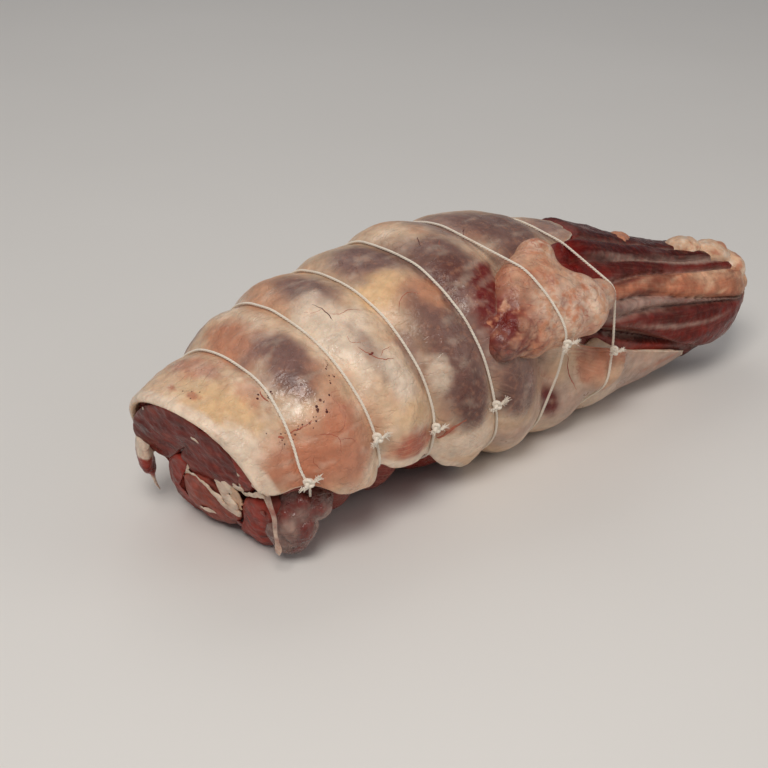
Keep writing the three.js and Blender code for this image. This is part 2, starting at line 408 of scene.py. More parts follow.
def round_shape(rings: Array, marks: dict[str, Array | float] | None = None, tips: bool = True) -> Shape:
    """A skin through closed rings of points, with a pole in the middle of each end.

    Args:
        rings: places, ring by ring.
        marks: numbers at each place, ring by ring, or one number for all of them.
        tips: False where the last ring joins the first instead.

    Returns:
        The closed shape. Its two surface measures are millimetres along and around.
    """
    rows, columns = rings.shape[:2]
    marks = {name: spread_out(value, (rows, columns)) for name, value in (marks or {}).items()}
    if not tips:
        rings = np.concatenate([rings, rings[:1]])
    faces, spread = grid_faces(len(rings), columns, True)
    faces = faces % (rows * columns)
    along = np.linalg.norm(np.diff(rings, axis=0), axis=2).mean(axis=1)
    walked = np.concatenate([[0.0], np.cumsum(along)])
    girth = np.linalg.norm(np.roll(rings, -1, axis=1) - rings, axis=2).sum(axis=1).mean()
    spread = np.stack([walked[spread[..., 0].astype(int)], spread[..., 1] * girth / columns], axis=-1)
    points = rings[:rows].reshape(-1, 3)
    kept = {name: value.reshape((rows * columns,) + value.shape[2:]) for name, value in marks.items()}
    if tips:
        j = np.arange(columns)
        after = (j + 1) % columns
        end = (rows - 1) * columns
        first, last = len(points), len(points) + 1
        start_cap = np.stack([np.full(columns, first), after, j, j], axis=1)
        end_cap = np.stack([np.full(columns, last), end + j, end + after, end + after], axis=1)
        faces = np.concatenate([faces, start_cap, end_cap])
        wide = np.stack([j, j + 1, j, j], axis=1) * girth / columns
        for at in (0.0, walked[-1]):
            spread = np.concatenate([spread, np.stack([np.full((columns, 4), at), wide], axis=-1)])
        poles = [rings[0].mean(axis=0), rings[rows - 1].mean(axis=0)]
        points = np.concatenate([points, poles])
        for name, value in marks.items():
            ends = np.stack([value[0].mean(axis=0), value[-1].mean(axis=0)])
            kept[name] = np.concatenate([kept[name], ends])
    return Shape(points, faces, spread, kept).outwards()


def grid_normals(points: Array, around: bool) -> Array:
    """The unit normals of a grid of points: the cross product of its two directions.

    Args:
        points: places, row by row.
        around: whether the last column joins the first.

    Returns:
        A normal for each point, to the right of the way along as the columns run.
    """
    return unit(np.cross(steps(points, False), steps(points, around, 1)))


def on_table(points: Array) -> Array:
    """The points, with none of them below the table."""
    points[..., 2] = np.maximum(points[..., 2], TABLE_GAP)
    return points


def facing_out(points: Array, around: bool) -> Array:
    """The unit normals of a grid wrapped round the leg's middle line, pointing away from it."""
    normals = grid_normals(points, around)
    away = points * [0, 1, 1] - [0, 0, 45]
    return normals * np.sign(np.sum(normals * away))


def tube(route: Array, radii: Array | float, sides: int = 8, flat: float = 1.0, closed: bool = False,
         face: Array | None = None) -> Shape:
    """A round or flattened section carried along a path.

    Each ring stands square to the path. Its first direction is face, made square to the path, or the one
    carried over from the ring before, and its second is their cross product.

    Args:
        route: the path's points.
        radii: the section's radius at each point.
        sides: points round a section.
        flat: thickness of the section of its width.
        closed: whether the path comes back to its start.
        face: the way that the flat side faces.

    Returns:
        The closed shape.
    """
    ahead = unit(steps(route, closed))
    reference = np.array([0.0, 0.0, 1.0]) if face is None else np.asarray(face, float)
    reference = np.broadcast_to(reference, route.shape)
    up = unit(reference - np.sum(reference * ahead, axis=1, keepdims=True) * ahead)
    side = np.cross(ahead, up)
    angles = np.arange(sides) * TURN / sides
    ring = np.cos(angles)[None, :, None] * side[:, None] + flat * np.sin(angles)[None, :, None] * up[:, None]
    radii = np.broadcast_to(np.asarray(radii, float), (len(route),))
    return round_shape(route[:, None] + ring * radii[:, None, None], tips=not closed)


def directions(rows: int, columns: int) -> Array:
    """Unit directions over a sphere, ring by ring, from just off one pole to just off the other."""
    tilt = (np.arange(rows) + 0.5) / rows * math.pi
    turn = np.arange(columns) * TURN / columns
    tilt, turn = np.meshgrid(tilt, turn, indexing="ij")
    return np.stack([np.sin(tilt) * np.cos(turn), np.sin(tilt) * np.sin(turn), np.cos(tilt)], axis=-1)


@dataclass(frozen=True)
class Place:
    """Where the leg's own measure lies in the frame."""

    zero: Spot  # the frame's place, in metres, of station 0, Y 0 and the table

    @classmethod
    def on_solid(cls, node: str) -> "Place":
        """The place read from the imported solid's box."""
        low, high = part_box(node)
        return cls((high.x - FAR_END / 1000, high.y - FURTHEST_BACK / 1000, low.z))

    def metres(self, points: Array) -> Array:
        """Points of the leg's measure as metres of the frame."""
        return np.asarray(points, float) / 1000 + np.array(self.zero)


PLACE = Place.on_solid("leg")


def put_in_scene(name: str, data: bpy.types.ID) -> Piece:
    """A new object of that data, in the scene."""
    made = bpy.data.objects.new(name, data)
    bpy.context.scene.collection.objects.link(made)
    return made


def make_piece(name: str, shape: Shape, finish: "Finish", node: str = "leg") -> Piece:
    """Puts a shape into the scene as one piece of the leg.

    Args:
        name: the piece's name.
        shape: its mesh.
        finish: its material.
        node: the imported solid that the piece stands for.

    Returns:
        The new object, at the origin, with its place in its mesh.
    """
    corners = shape.faces.copy()
    sides = np.where(corners[:, 2] == corners[:, 3], 3, 4)
    kept = np.arange(4)[None, :] < sides[:, None]
    mesh = bpy.data.meshes.new(name)
    mesh.vertices.add(len(shape.points))
    mesh.vertices.foreach_set("co", PLACE.metres(shape.points).astype(np.float32).ravel())
    loops = corners[kept]
    mesh.loops.add(len(loops))
    mesh.loops.foreach_set("vertex_index", loops.astype(np.int32))
    mesh.polygons.add(len(sides))
    starts = np.concatenate([[0], np.cumsum(sides)[:-1]])
    mesh.polygons.foreach_set("loop_start", starts.astype(np.int32))
    mesh.update(calc_edges=True)
    mesh.polygons.foreach_set("use_smooth", np.ones(len(sides), bool))
    layer = mesh.uv_layers.new(name="surface")
    layer.data.foreach_set("uv", (shape.spread[kept] / 100).astype(np.float32).ravel())
    for mark, value in shape.marks.items():
        if value.ndim == 2:
            attribute = mesh.attributes.new(mark, "FLOAT_COLOR", "POINT")
            whole = np.concatenate([value, np.ones((len(value), 1))], axis=1)
            attribute.data.foreach_set("color", whole.astype(np.float32).ravel())
        else:
            attribute = mesh.attributes.new(mark, "FLOAT", "POINT")
            attribute.data.foreach_set("value", value.astype(np.float32))
    mesh.validate()
    mesh.materials.append(finish.material())
    made = put_in_scene(name, mesh)
    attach(made, "root")
    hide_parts(node)
    triangles = int(np.sum(sides - 2))
    LOG.info("%s: %d triangles, for %s", name, triangles, node)
    return made


# ---- finishes
class Graph:
    """Adds and joins the nodes of one material."""

    def __init__(self, name: str) -> None:
        """Starts an empty material of that name."""
        self.material = bpy.data.materials.new(name)
        self.material.use_nodes = True
        self.tree = self.material.node_tree
        self.tree.nodes.clear()

    def add(self, kind: str, inputs: dict, **settings: object) -> bpy.types.Node:
        """Adds one node.

        Args:
            kind: its type's name, without the ShaderNode before it.
            inputs: its inputs by name or number: a constant, or another node's output.
            settings: the node's own properties.

        Returns:
            The node.
        """
        node = self.tree.nodes.new("ShaderNode" + kind)
        for key, value in settings.items():
            setattr(node, key, value)
        for key, value in inputs.items():
            if isinstance(value, Socket):
                self.tree.links.new(value, node.inputs[key])
            else:
                node.inputs[key].default_value = value
        return node

    def noise(self, where: Socket, per_metre: float, detail: float = 3.0) -> Socket:
        """Noise of 0 to 1 with so many features to the metre."""
        inputs = {"Vector": where, "Scale": per_metre, "Detail": detail, "Roughness": 0.55}
        return self.add("TexNoise", inputs).outputs[0]

    def sum_of(self, first: object, second: object, by: str = "ADD") -> Socket:
        """Two numbers put together by a simple operation."""
        return self.add("Math", {0: first, 1: second}, operation=by).outputs[0]

    def ramp(self, value: Socket, low: float, high: float, start: float = 0.0, end: float = 1.0) -> Socket:
        """A value taken smoothly from low..high to start..end."""
        inputs = {0: value, 1: low, 2: high, 3: start, 4: end}
        return self.add("MapRange", inputs, interpolation_type="SMOOTHSTEP").outputs[0]

    def times(self, first: object, second: object) -> Socket:
        """Two numbers multiplied."""
        return self.sum_of(first, second, "MULTIPLY")

    def from_middle(self, noise: Socket) -> Socket:
        """How far a noise is from its middle, which is 0 along winding lines."""
        return self.sum_of(self.sum_of(noise, 0.5, "SUBTRACT"), 0, "ABSOLUTE")

    def lengthwise(self, along: float, across: float, detail: float) -> Socket:
        """Noise drawn out along the surface's first measure, at so many features along and across."""
        surface = self.add("UVMap", {}, uv_map="surface").outputs[0]
        drawn = self.add("Mapping", {0: surface, 3: (along, across, 1.0)}).outputs[0]
        return self.noise(drawn, 1.0, detail)

    def mark(self, name: str, output: int = 2) -> Socket:
        """A number kept on the piece; output 0 reads a colour."""
        return self.add("Attribute", {}, attribute_name=name).outputs[output]

    def mixed(self, share: object, first: object, second: object, by: str = "MIX") -> Socket:
        """Two colours mixed by a share."""
        inputs = {0: share, 6: first, 7: second}
        return self.add("Mix", inputs, data_type="RGBA", blend_type=by).outputs[2]

    def close(self, inputs: dict) -> bpy.types.Material:
        """Ends the material with a shader of those inputs."""
        shader = self.add("BsdfPrincipled", inputs)
        self.add("OutputMaterial", {0: shader.outputs[0]})
        return self.material


def shade(tissue: Tissue) -> tuple[float, float, float, float]:
    """A tissue's colour as a shader takes it."""
    return (*tissue.light, 1.0)


@dataclass(frozen=True)
class Finish:
    """What every finish has: a material made once."""

    name: str  # the material's name
    slot: str  # the record's slot that it belongs to

    def material(self) -> bpy.types.Material:
        """The finish's material, made at its first use."""
        return bpy.data.materials.get(self.name) or self.build(Graph(self.name))

    def build(self, graph: Graph) -> bpy.types.Material:
        """Builds the material's nodes."""
        raise NotImplementedError


@dataclass(frozen=True)
class Flesh(Finish):
    """Raw fat, skin, meat or bone. Its colours come from the piece's own tint."""

    roughness: float = 0.5  # of the dullest places
    wet_roughness: float = 0.25  # of the places marked wet
    coat: float = 0.08  # strength of the wet film
    shine: float = 0.5  # strength of the reflection under it; 0.5 is usual
    clouds: float = 0.12  # how much lighter and darker broad clouds are
    mottle: float = 0.1  # and how much lighter and darker small ones are
    cloud_size: float = 14.0  # millimetres from one cloud to the next
    flush: float = 0.25  # how strongly fine spots take the flush tissue's colour
    flush_tissue: Tissue = Tissue.PEACH  # the colour of the fine spots
    pits: float = 0.12  # height of the finest relief, in millimetres
    waves: float = 0.25  # height of the middling relief, in millimetres
    wrinkles: float = 0.0  # depth of the thin creases, in millimetres
    fibre: float = 0.15  # height of the streaks along the surface, in millimetres
    depth: float = 3.0  # how deep light goes in, in millimetres
    scatter: float = 0.12  # share of the light that goes in

    def build(self, graph: Graph) -> bpy.types.Material:
        """Tint, clouded, flushed, streaked and veined, over a shader that lets some light in."""
        where = graph.add("TexCoord", {}).outputs["Object"]
        clouds = graph.noise(where, 1000 / self.cloud_size, 4)
        light = graph.ramp(clouds, 0.3, 0.7, 1 - self.clouds, 1 + self.clouds)
        small = graph.ramp(graph.noise(where, 240, 5), 0.32, 0.68, 1 - self.mottle, 1 + self.mottle)
        colour = graph.mixed(1.0, graph.mark("tint", 0), graph.times(light, small), "MULTIPLY")
        spots = graph.ramp(graph.noise(where, 330, 5), 0.48, 0.72, 0, self.flush)
        colour = graph.mixed(spots, colour, shade(self.flush_tissue))
        colour = self.veined(graph, where, self.streaked(graph, colour))
        rough = graph.ramp(graph.mark("wet"), 0, 1, self.roughness, self.wet_roughness)
        dull = graph.ramp(graph.noise(where, 210, 3), 0.35, 0.65, -0.06, 0.08)
        relief = self.relief(graph, where)
        return graph.close({
            "Base Color": colour,
            "Roughness": graph.sum_of(rough, dull),
            "Normal": relief,
            "Coat Normal": relief,
            "IOR": 1.4,
            "Specular IOR Level": self.shine,
            "Coat Weight": self.coat,
            "Coat Roughness": 0.22,
            "Subsurface Weight": self.scatter,
            "Subsurface Radius": (1.0, 0.36, 0.2),
            "Subsurface Scale": self.depth / 1000,
        })

    @staticmethod
    def streaked(graph: Graph, colour: Socket) -> Socket:
        """Light fibres where the piece is marked streaked."""
        thin = graph.ramp(graph.lengthwise(6, 90, 4), 0.46, 0.7, 0, 0.45)
        return graph.mixed(graph.times(thin, graph.mark("streaks")), colour, shade(Tissue.GRISTLE))

    @staticmethod
    def veined(graph: Graph, where: Socket, colour: Socket) -> Socket:
        """Fine red threads, where noise crosses its middle and the piece is marked veined."""
        bent = graph.add("Mapping", {0: where, 2: (0.3, 0.5, 0.2)}).outputs[0]
        line = graph.ramp(graph.from_middle(graph.noise(bent, 34, 3)), 0.0, 0.006, 0.7, 0)
        broken = graph.ramp(graph.noise(where, 60, 2), 0.5, 0.6)
        share = graph.times(graph.times(line, broken), graph.mark("veins"))
        return graph.mixed(share, colour, (0.36, 0.08, 0.05, 1))

    def relief(self, graph: Graph, where: Socket) -> Socket:
        """Pits, waves, creases and fibres as one bumped normal."""
        pits = graph.times(graph.noise(where, 700, 4), self.pits)
        waves = graph.times(graph.noise(where, 150, 3), self.waves)
        bent = graph.add("Mapping", {0: where, 2: (0.4, 0.1, 0.7), 3: (0.6, 1.0, 1.0)}).outputs[0]
        creases = graph.ramp(graph.from_middle(graph.noise(bent, 120, 4)), 0.0, 0.05, -self.wrinkles, 0)
        streaks = graph.sum_of(graph.mark("streaks"), 0.06)
        fibres = graph.times(graph.times(graph.lengthwise(6, 90, 4), streaks), self.fibre)
        height = graph.sum_of(graph.sum_of(graph.sum_of(pits, waves), creases), fibres)
        return graph.add("Bump", {"Strength": 1.0, "Distance": 0.001, "Height": height}).outputs[0]


@dataclass(frozen=True)
class Cotton(Finish):
    """Off-white cotton twine, a little soiled."""

    def build(self, graph: Graph) -> bpy.types.Material:
        """Cream yarn with fine lengthwise fibres and faint stains."""
        where = graph.add("TexCoord", {}).outputs["Object"]
        stain = graph.ramp(graph.noise(where, 90, 3), 0.5, 0.75, 0, 0.35)
        colour = graph.mixed(stain, (0.86, 0.77, 0.65, 1), (0.60, 0.40, 0.27, 1))
        fibres = graph.lengthwise(60, 900, 3)
        colour = graph.mixed(graph.ramp(fibres, 0.3, 0.7, 0.18, 0), colour, (0.5, 0.4, 0.3, 1))
        bump = graph.add("Bump", {"Strength": 0.7, "Distance": 0.0002, "Height": fibres})
        return graph.close({
            "Base Color": colour,
            "Roughness": 0.9,
            "Normal": bump.outputs[0],
            "Sheen Weight": 0.25,
            "Sheen Roughness": 0.5,
            "Subsurface Weight": 0.08,
            "Subsurface Radius": (1.0, 0.8, 0.6),
            "Subsurface Scale": 0.001,
        })


@dataclass(frozen=True)
class PaleFloor(Finish):
    """The plain pale floor."""

    def build(self, graph: Graph) -> bpy.types.Material:
        """A warm grey with the faintest clouds."""
        where = graph.add("TexCoord", {}).outputs["Object"]
        colour = graph.mixed(graph.noise(where, 4, 2), (0.74, 0.71, 0.67, 1), (0.78, 0.75, 0.71, 1))
        return graph.close({"Base Color": colour, "Roughness": 0.7})


FAT_AND_SKIN = Flesh(
    "raw_fat_and_skin", "fat_and_skin", wet_roughness=0.24, coat=0.14, shine=0.45, clouds=0.1,
    pits=0.2, waves=0.45, wrinkles=0.16,
)
CUT_MEAT = Flesh(
    "raw_cut_meat", "cut_meat", wet_roughness=0.26, coat=0.06, shine=0.15, clouds=0.22, mottle=0.16,
    cloud_size=9.0, flush=0.3, flush_tissue=Tissue.FRESH_MEAT, pits=0.22, waves=0.35, fibre=0.35,
    depth=2.0, scatter=0.08,
)
KNUCKLE_BONE = Flesh(
    "raw_knuckle", "knuckle", roughness=0.45, wet_roughness=0.26, coat=0.06, clouds=0.15, cloud_size=7.0,
    flush_tissue=Tissue.ORANGE_MEAT, pits=0.2, waves=0.3, wrinkles=0.2, depth=2.5,
)
SLICK_MEAT = Flesh(
    "raw_slick_meat", "cut_meat", roughness=0.34, wet_roughness=0.2, coat=0.35, clouds=0.15, mottle=0.14,
    cloud_size=8.0, flush=0.2, flush_tissue=Tissue.FRESH_MEAT, pits=0.3, waves=0.6, wrinkles=0.25,
    fibre=0.3, depth=2.0, scatter=0.08,
)
COTTON = Cotton("cotton_twine", "twine")


# ---- the roll's form
@dataclass(frozen=True)
class Section:
    """One section of the rolled meat."""

    along: float  # its station, where it crosses the waist
    middle: float  # Y of its middle
    half: float  # half its width
    top: float  # height of its top
    under: float  # height of its underside
    lean: float  # how far it runs along the leg for each millimetre up
    slant: float  # and for each millimetre to the back


@dataclass(frozen=True)
class Ring:
    """The sheet that one ring of twine lies in."""

    at: float  # its station at the waist
    lean: float  # how far it runs along the leg for each millimetre above the waist
    low: float  # and for each millimetre below it, downwards being negative
    knot: float  # angle of its knot round the leg

    def station(self, height: Array | float) -> Array:
        """Where the sheet lies at a height: two slopes that meet in a soft bend at the waist."""
        waist, bend = 50.0, 3.0
        above = bend * np.logaddexp(0.0, (np.asarray(height, float) - waist) / bend)
        return self.at + self.low * (height - waist) + (self.lean - self.low) * above


RINGS = (
    Ring(38.5, 0.01, -0.55, 0.02),
    Ring(78.5, -0.22, -0.22, 0.06),
    Ring(113.4, -0.21, -0.06, -0.14),
    Ring(146.5, -0.24, -0.3, -0.16),
    Ring(188.3, -0.29, -0.05, 0.19),
    Ring(229.5, -0.08, 0.08, -0.06),
)


@dataclass(frozen=True)
class Roll:
    """The rolled meat's skin, as a function of a station and an angle."""

    # Its sections
    sections: tuple[Section, ...] = (
        Section(CUT_STATION, -6, 42, 77, 0, -0.50, -0.13),
        Section(45, -4, 52, 85, 0, -0.30, -0.04),
        Section(77, 0, 59, 98, 0, -0.20, 0),
        Section(115, 3, 60, 105, 0, -0.16, 0),
        Section(154, 0, 60, 113, 0, -0.16, 0),
        Section(192, 5, 55, 109, 0, -0.14, 0),
        Section(228, 3, 50, 100, 0, -0.05, 0),
        Section(262, -4, 44, 86, 2, 0, 0),
        Section(300, -16, 36, 71, 9, 0, 0),
        Section(330, -25, 26, 64, 17, 0, 0),
        Section(350, -31, 14, 58, 27, 0, 0),
    )
    waist: float = 0.47  # height of the widest place, of the whole height
    upper: float = 2.15  # roundness of the upper half; 2 is an ellipse
    lower: float = 1.95  # roundness of the lower half
    sag: float = 5.0  # how far the round underside is pressed flat
    pull: float = 3.6  # how deep the twine sinks in
    pinch: float = 1.1  # the narrow part of that
    pull_reach: float = 9.0  # how far along the leg the twine draws the meat in
    pinch_reach: float = 2.6  # and the narrow part of that
    press: float = 6.2  # how far the twine lifts the meat off the table
    belly: float = 0.16  # how far the front hangs out under the waist, of its distance from the middle
    belly_at: float = 212.0  # station of the middle of that
    flatness: float = 0.8  # how softly the underside meets the table

    def measure(self, name: str, along: Array) -> Array:
        """One measure of the sections at stations, by the smooth cubic."""
        places = [section.along for section in self.sections]
        return through(along, places, [getattr(section, name) for section in self.sections])

    def skin(self, along: Array, angle: Array) -> Array:
        """Points of the skin.

        A section is two half superellipses that meet at the waist. Its points run along the leg with their
        rise and their way out, each ring of twine draws them in by a wide and a narrow bell, and the table
        stops them by a soft maximum.

        Args:
            along: stations.
            angle: angles from the front upwards, in radians.

        Returns:
            A point for each pair.
        """
        top, under = self.measure("top", along), self.measure("under", along)
        waist = under + (top - under) * self.waist
        up = np.sin(angle)
        out = -power(np.cos(angle), 2 / self.upper) * self.measure("half", along)
        above = power(np.maximum(up, 0), 2 / self.upper) * (top - waist)
        below = power(np.minimum(up, 0), 2 / self.lower) * (waist - under + self.sag)
        rise = above + below
        station = along + self.measure("lean", along) * rise + self.measure("slant", along) * out
        turned = np.arctan2(up, np.cos(angle))
        grow = 1.0 + self.belly * bell(station - self.belly_at, 50) * bell(turned + 0.68, 0.45)
        pull = self.pull * (1 - 0.4 * smooth(0.7, 1.0, up))
        floor = under
        for ring in RINGS:
            away = station - ring.station(waist + rise)
            grow -= (pull * bell(away, self.pull_reach) + self.pinch * bell(away, self.pinch_reach)) / RADIUS
            floor = floor + self.press * bell(away, 6.0)
        height = waist + rise * grow
        height = floor + self.flatness * np.logaddexp(0.0, (height - floor) / self.flatness)
        return np.stack([station, self.measure("middle", along) + out * grow, height], axis=-1)


ROLL = Roll()


def fold(angle: Array) -> Array:
    """Angles brought to within half a turn of the front."""
    return (np.asarray(angle) + math.pi) % TURN - math.pi


def lip_angle(along: Array) -> Array:
    """Angle of the outer layer's front edge: drawn up by the first rings, then away under the leg."""
    by_station = {
        CUT_STATION: 0.22, 28: 0.12, 37: 0.1, 46: 0.0, 53: -0.16, 65: -0.24, 74: -0.31, 79: -0.19,
        85: -0.27, 97: -0.3, 105: -0.32, 112: -0.48, 119: -0.64, 130: -0.78, 145: -1.1, 165: UNDER,
    }
    return through(along, list(by_station), list(by_station.values()))


def torn_end(angle: Array) -> Array:
    """Station where the outer layer ends over the thigh, by the angle round the leg."""
    turned = np.where(fold(angle) < FAR_SIDE, fold(angle) + TURN, fold(angle))
    by_angle = {
        -1.8: 300, -0.9: 304, -0.5: 300, -0.24: 280, -0.1: 256, 0.02: 238, 0.12: 215, 0.4: 212, 0.7: 216,
        1.05: 219, 1.15: 236, 1.3: 243, 1.6: 246, 2.2: 250, 3.2: 262, 4.5: 300,
    }
    return through(turned, list(by_angle), list(by_angle.values()))


# ---- the outer layer
def spaced(length: Array, rim: float, edge: int, middle: int) -> Array:
    """Distances across a sheet: quarter-circle steps within rim of each border and even ones between.

    Args:
        length: the sheet's width, for each row or column.
        rim: how far in from a border the quarter circle reaches.
        edge: number of steps in it.
        middle: number of even steps.

    Returns:
        The distances, with the steps as the first axis.
    """
    near = rim * (1 - np.cos(np.arange(edge) * math.pi / 2 / edge))
    length = np.asarray(length, float)[None, :]
    even = rim + (length - 2 * rim) * np.linspace(0, 1, middle + 1)[:, None]
    start = np.broadcast_to(near[:, None], (edge, length.shape[1]))
    return np.concatenate([start, even, length - start[::-1]])


@dataclass
class OuterLayer:
    """The sheet of fat and silverskin rolled round the meat, open at the front lip."""

    thick: float = 3.8  # its thickness
    thin: float = 1.8  # and where it tears off over the thigh
    rows: int = 232  # even steps along the leg
    columns: int = 186  # even steps round it
    level: float = 200.0  # how far from the cut the rows would reach if none were stretched
    steady: float = 122.0  # how far from the cut none are
    back_edge: float = 1.5 * math.pi - 0.1  # angle at which it ends under the leg
    corner: float = 3.5  # how far the rim runs out at the front of the cut
    ragged: float = 3.4  # how far its torn end wanders
    swell: float = 1.3  # height of its broad unevenness
    dimples: float = 0.35  # height of the finer unevenness
    pucker: float = 0.22  # height of the little folds beside the twine
    rim_steps: int = 5  # steps across its rounded borders

    def sheet(self) -> tuple[Array, Array, Array]:
        """The sheet's stations, angles and fullness.

        Its rows run straight round for the steady stretch, and beyond it they spread to reach the torn end.
        Fullness is 0 at a border and 1 a rim's width in, on a quarter circle, so the borders are round.

        Returns:
            Three grids: stations, angles, fullness.
        """
        rim, edge = self.thick / 2, self.rim_steps
        rough_angle = UNDER + np.linspace(0, 1, self.columns + 1 + 2 * edge) * (self.back_edge - UNDER)
        round_line = np.stack([rough_angle * 9, rough_angle * 0, rough_angle * 0], -1)
        length = torn_end(rough_angle) - CUT_STATION + self.ragged * BROAD.layers(round_line, 1.0, 2)
        level = spaced(np.full(length.shape, self.level), rim, edge, self.rows)
        stretch = np.clip((level - self.steady) / (self.level - rim - self.steady), 0, 1)
        deep = level + (length - self.level) * stretch
        along = CUT_STATION + deep
        start = lip_angle(along)
        short_back = math.pi + 0.15
        back = short_back + (self.back_edge - short_back) * smooth(CUT_STATION, 62, along)
        width = (back - start) * RADIUS
        steps = spaced(width.ravel(), rim, edge, self.columns).reshape((-1,) + width.shape)
        round_by = np.take_along_axis(steps, np.arange(width.shape[1])[None, None, :], axis=0)[0]
        angle = start + round_by / RADIUS
        along = along - self.corner * bell(angle - 0.2, 0.4) * (1 - smooth(0, 22, deep))
        inward = np.minimum(np.minimum(deep, length - deep), np.minimum(round_by, width - round_by))
        fullness = np.sqrt(1 - (1 - np.clip(inward / rim, 0, 1)) ** 2)
        return along, angle, fullness

    def relief(self, angle: Array, points: Array) -> Array:
        """How far the outer face stands off the even skin: broad swells, dimples, and puckers by the twine.

        Args:
            angle: angles.
            points: the even skin.

        Returns:
            Heights in millimetres.
        """
        height = self.swell * BROAD.layers(points, 34, 2) + self.dimples * UNEVEN.layers(points, 8, 2)
        folds = np.sin(angle * RADIUS / 2.6 + 3 * BROAD.plain(points / 12))
        for ring in RINGS:
            away = points[..., 0] - ring.station(points[..., 2])
            height = height + self.pucker * folds * bell(np.abs(away) - 5, 4)
        return height

    def build(self) -> Piece:
        """Builds the sheet: two faces either side of its middle, which meet at its borders."""
        along, angle, full = self.sheet()
        even = ROLL.skin(along, angle)
        skin = KNEE.raised(even, full)
        thick = self.thick + (self.thin - self.thick) * smooth(-26, -2, along - torn_end(angle))
        rise = self.relief(angle, skin) * full - thick / 2 * (1 - full)
        outer = on_table(skin + facing_out(skin, False) * rise[..., None])
        inner = even - facing_out(even, False) * (thick / 2 * (1 + full))[..., None]
        shape = self.closed(outer, inner)
        marks = OUTER_PAINT.coat(along, angle, outer, full)
        hidden = len(shape.points) - full.size
        plain = dyed(Tissue.CREAM_FAT, np.zeros((hidden, 3)))
        for name, value in marks.items():
            behind = plain if name == "tint" else np.zeros(hidden)
            shape.marks[name] = np.concatenate([value.reshape((full.size,) + value.shape[2:]), behind])
        return make_piece("outer_layer", shape, FAT_AND_SKIN)

    @staticmethod
    def closed(outer: Array, inner: Array) -> Shape:
        """Two grids with a common border as one closed shape.

        Args:
            outer: the outer face's points.
            inner: the inner face's; its border isn't used.

        Returns:
            The shape, with the outer face's points first and the inner face's inside ones after them.
        """
        rows, columns = outer.shape[:2]
        faces, spread = grid_faces(rows, columns, False)
        within = rows * columns + np.arange((rows - 2) * (columns - 2)).reshape(rows - 2, columns - 2)
        behind = np.arange(rows * columns).reshape(rows, columns).copy()
        behind[1:-1, 1:-1] = within
        hidden = behind.ravel()[faces][:, ::-1]
        points = np.concatenate([outer.reshape(-1, 3), inner[1:-1, 1:-1].reshape(-1, 3)])
        size = np.array([310.0 / rows, 300.0 / columns])
        spread = np.concatenate([spread, spread[:, ::-1]]) * size
        return Shape(points, np.concatenate([faces, hidden]), spread).outwards()


@dataclass(frozen=True)
class Knee:
    """The knee, which lifts the outer layer in a round rise low at the front."""

    at: Spot = (230, -50, 37)  # its middle
    height: float = 9.5  # how far it stands out
    radius: float = 14  # of the rise
    stretch: Spot = (1.0, 1.2, 1.15)  # how much wider than its radius it is in each direction
    facing: Spot = (0.25, -0.93, -0.1)  # the way that it stands out

    def raised(self, skin: Array, share: Array | float = 1.0) -> Array:
        """The skin with the knee on it: moved one way by its height times exp(-(distance / radius)^4).

        Args:
            skin: places on the skin.
            share: how much of the knee to give each of them.

        Returns:
            The moved places.
        """
        away = np.linalg.norm((skin - self.at) / np.array(self.stretch), axis=-1)
        height = self.height * np.exp(-((away / self.radius) ** 4)) * share
        return skin + unit(np.array(self.facing)) * height[..., None]


KNEE = Knee()


# ---- the inner meat
@dataclass(frozen=True)
class Bundle:
    """A long muscle, tendon or bone that shows along the shank, between two angles that change on the way."""

    tissue: Tissue  # what it shows
    high: tuple[float, ...]  # its upper edge: angles at the stations of SHANK_PLACES
    rise: float  # how far it stands up, in millimetres
    streaks: float = 0.1  # how fibrous it looks
    wet: float = 0.7  # how glossy it is
    low: tuple[float, ...] = ()  # its lower edge, where this isn't the upper edge of the bundle before it


SHANK_PLACES = (215, 240, 262, 285, 305, 325, 345)
BONE = 3
SHANK_BUNDLES = (
    Bundle(Tissue.DARK_MEAT, (0.06, 0.05, -0.04, -0.28, -0.55, -0.85, -1.1), 0.0,
           low=(-1.6, -1.6, -1.5, -1.5, -1.5, -1.6, -1.7)),
    Bundle(Tissue.MAROON, (0.14, 0.22, 0.29, 0.32, 0.3, 0.17, -0.07), 3.0,
           low=(0.09, 0.08, -0.01, -0.24, -0.5, -0.8, -1.05)),
    Bundle(Tissue.SILVERSKIN, (0.3, 0.38, 0.45, 0.43, 0.36, 0.21, -0.04), 3.6, 0.1, 0.8),
    Bundle(Tissue.BONE_TAN, (0.46, 0.55, 0.68, 0.78, 0.82, 0.8, 0.7), 4.5, 0.25, 0.5),
    Bundle(Tissue.MAROON, (0.85, 0.86, 0.92, 1.02, 1.08, 1.05, 1.0), 1.6),
    Bundle(Tissue.DARK_MEAT, (1.15, 1.16, 1.2, 1.3, 1.34, 1.3, 1.3), 2.5),
    Bundle(Tissue.DARK_MEAT, (1.9, 1.9, 1.9, 1.95, 1.95, 1.9, 1.9), 2.0),
    Bundle(Tissue.MAROON, (2.7, 2.7, 2.7, 2.75, 2.8, 2.8, 2.8), 1.5),
    Bundle(Tissue.FRESH_MEAT, (3.7, 3.7, 3.7, 3.7, 3.7, 3.7, 3.7), 1.5),
    Bundle(Tissue.MAROON, (4.68, 4.68, 4.78, 4.78, 4.78, 4.68, 4.58), 1.0),
)


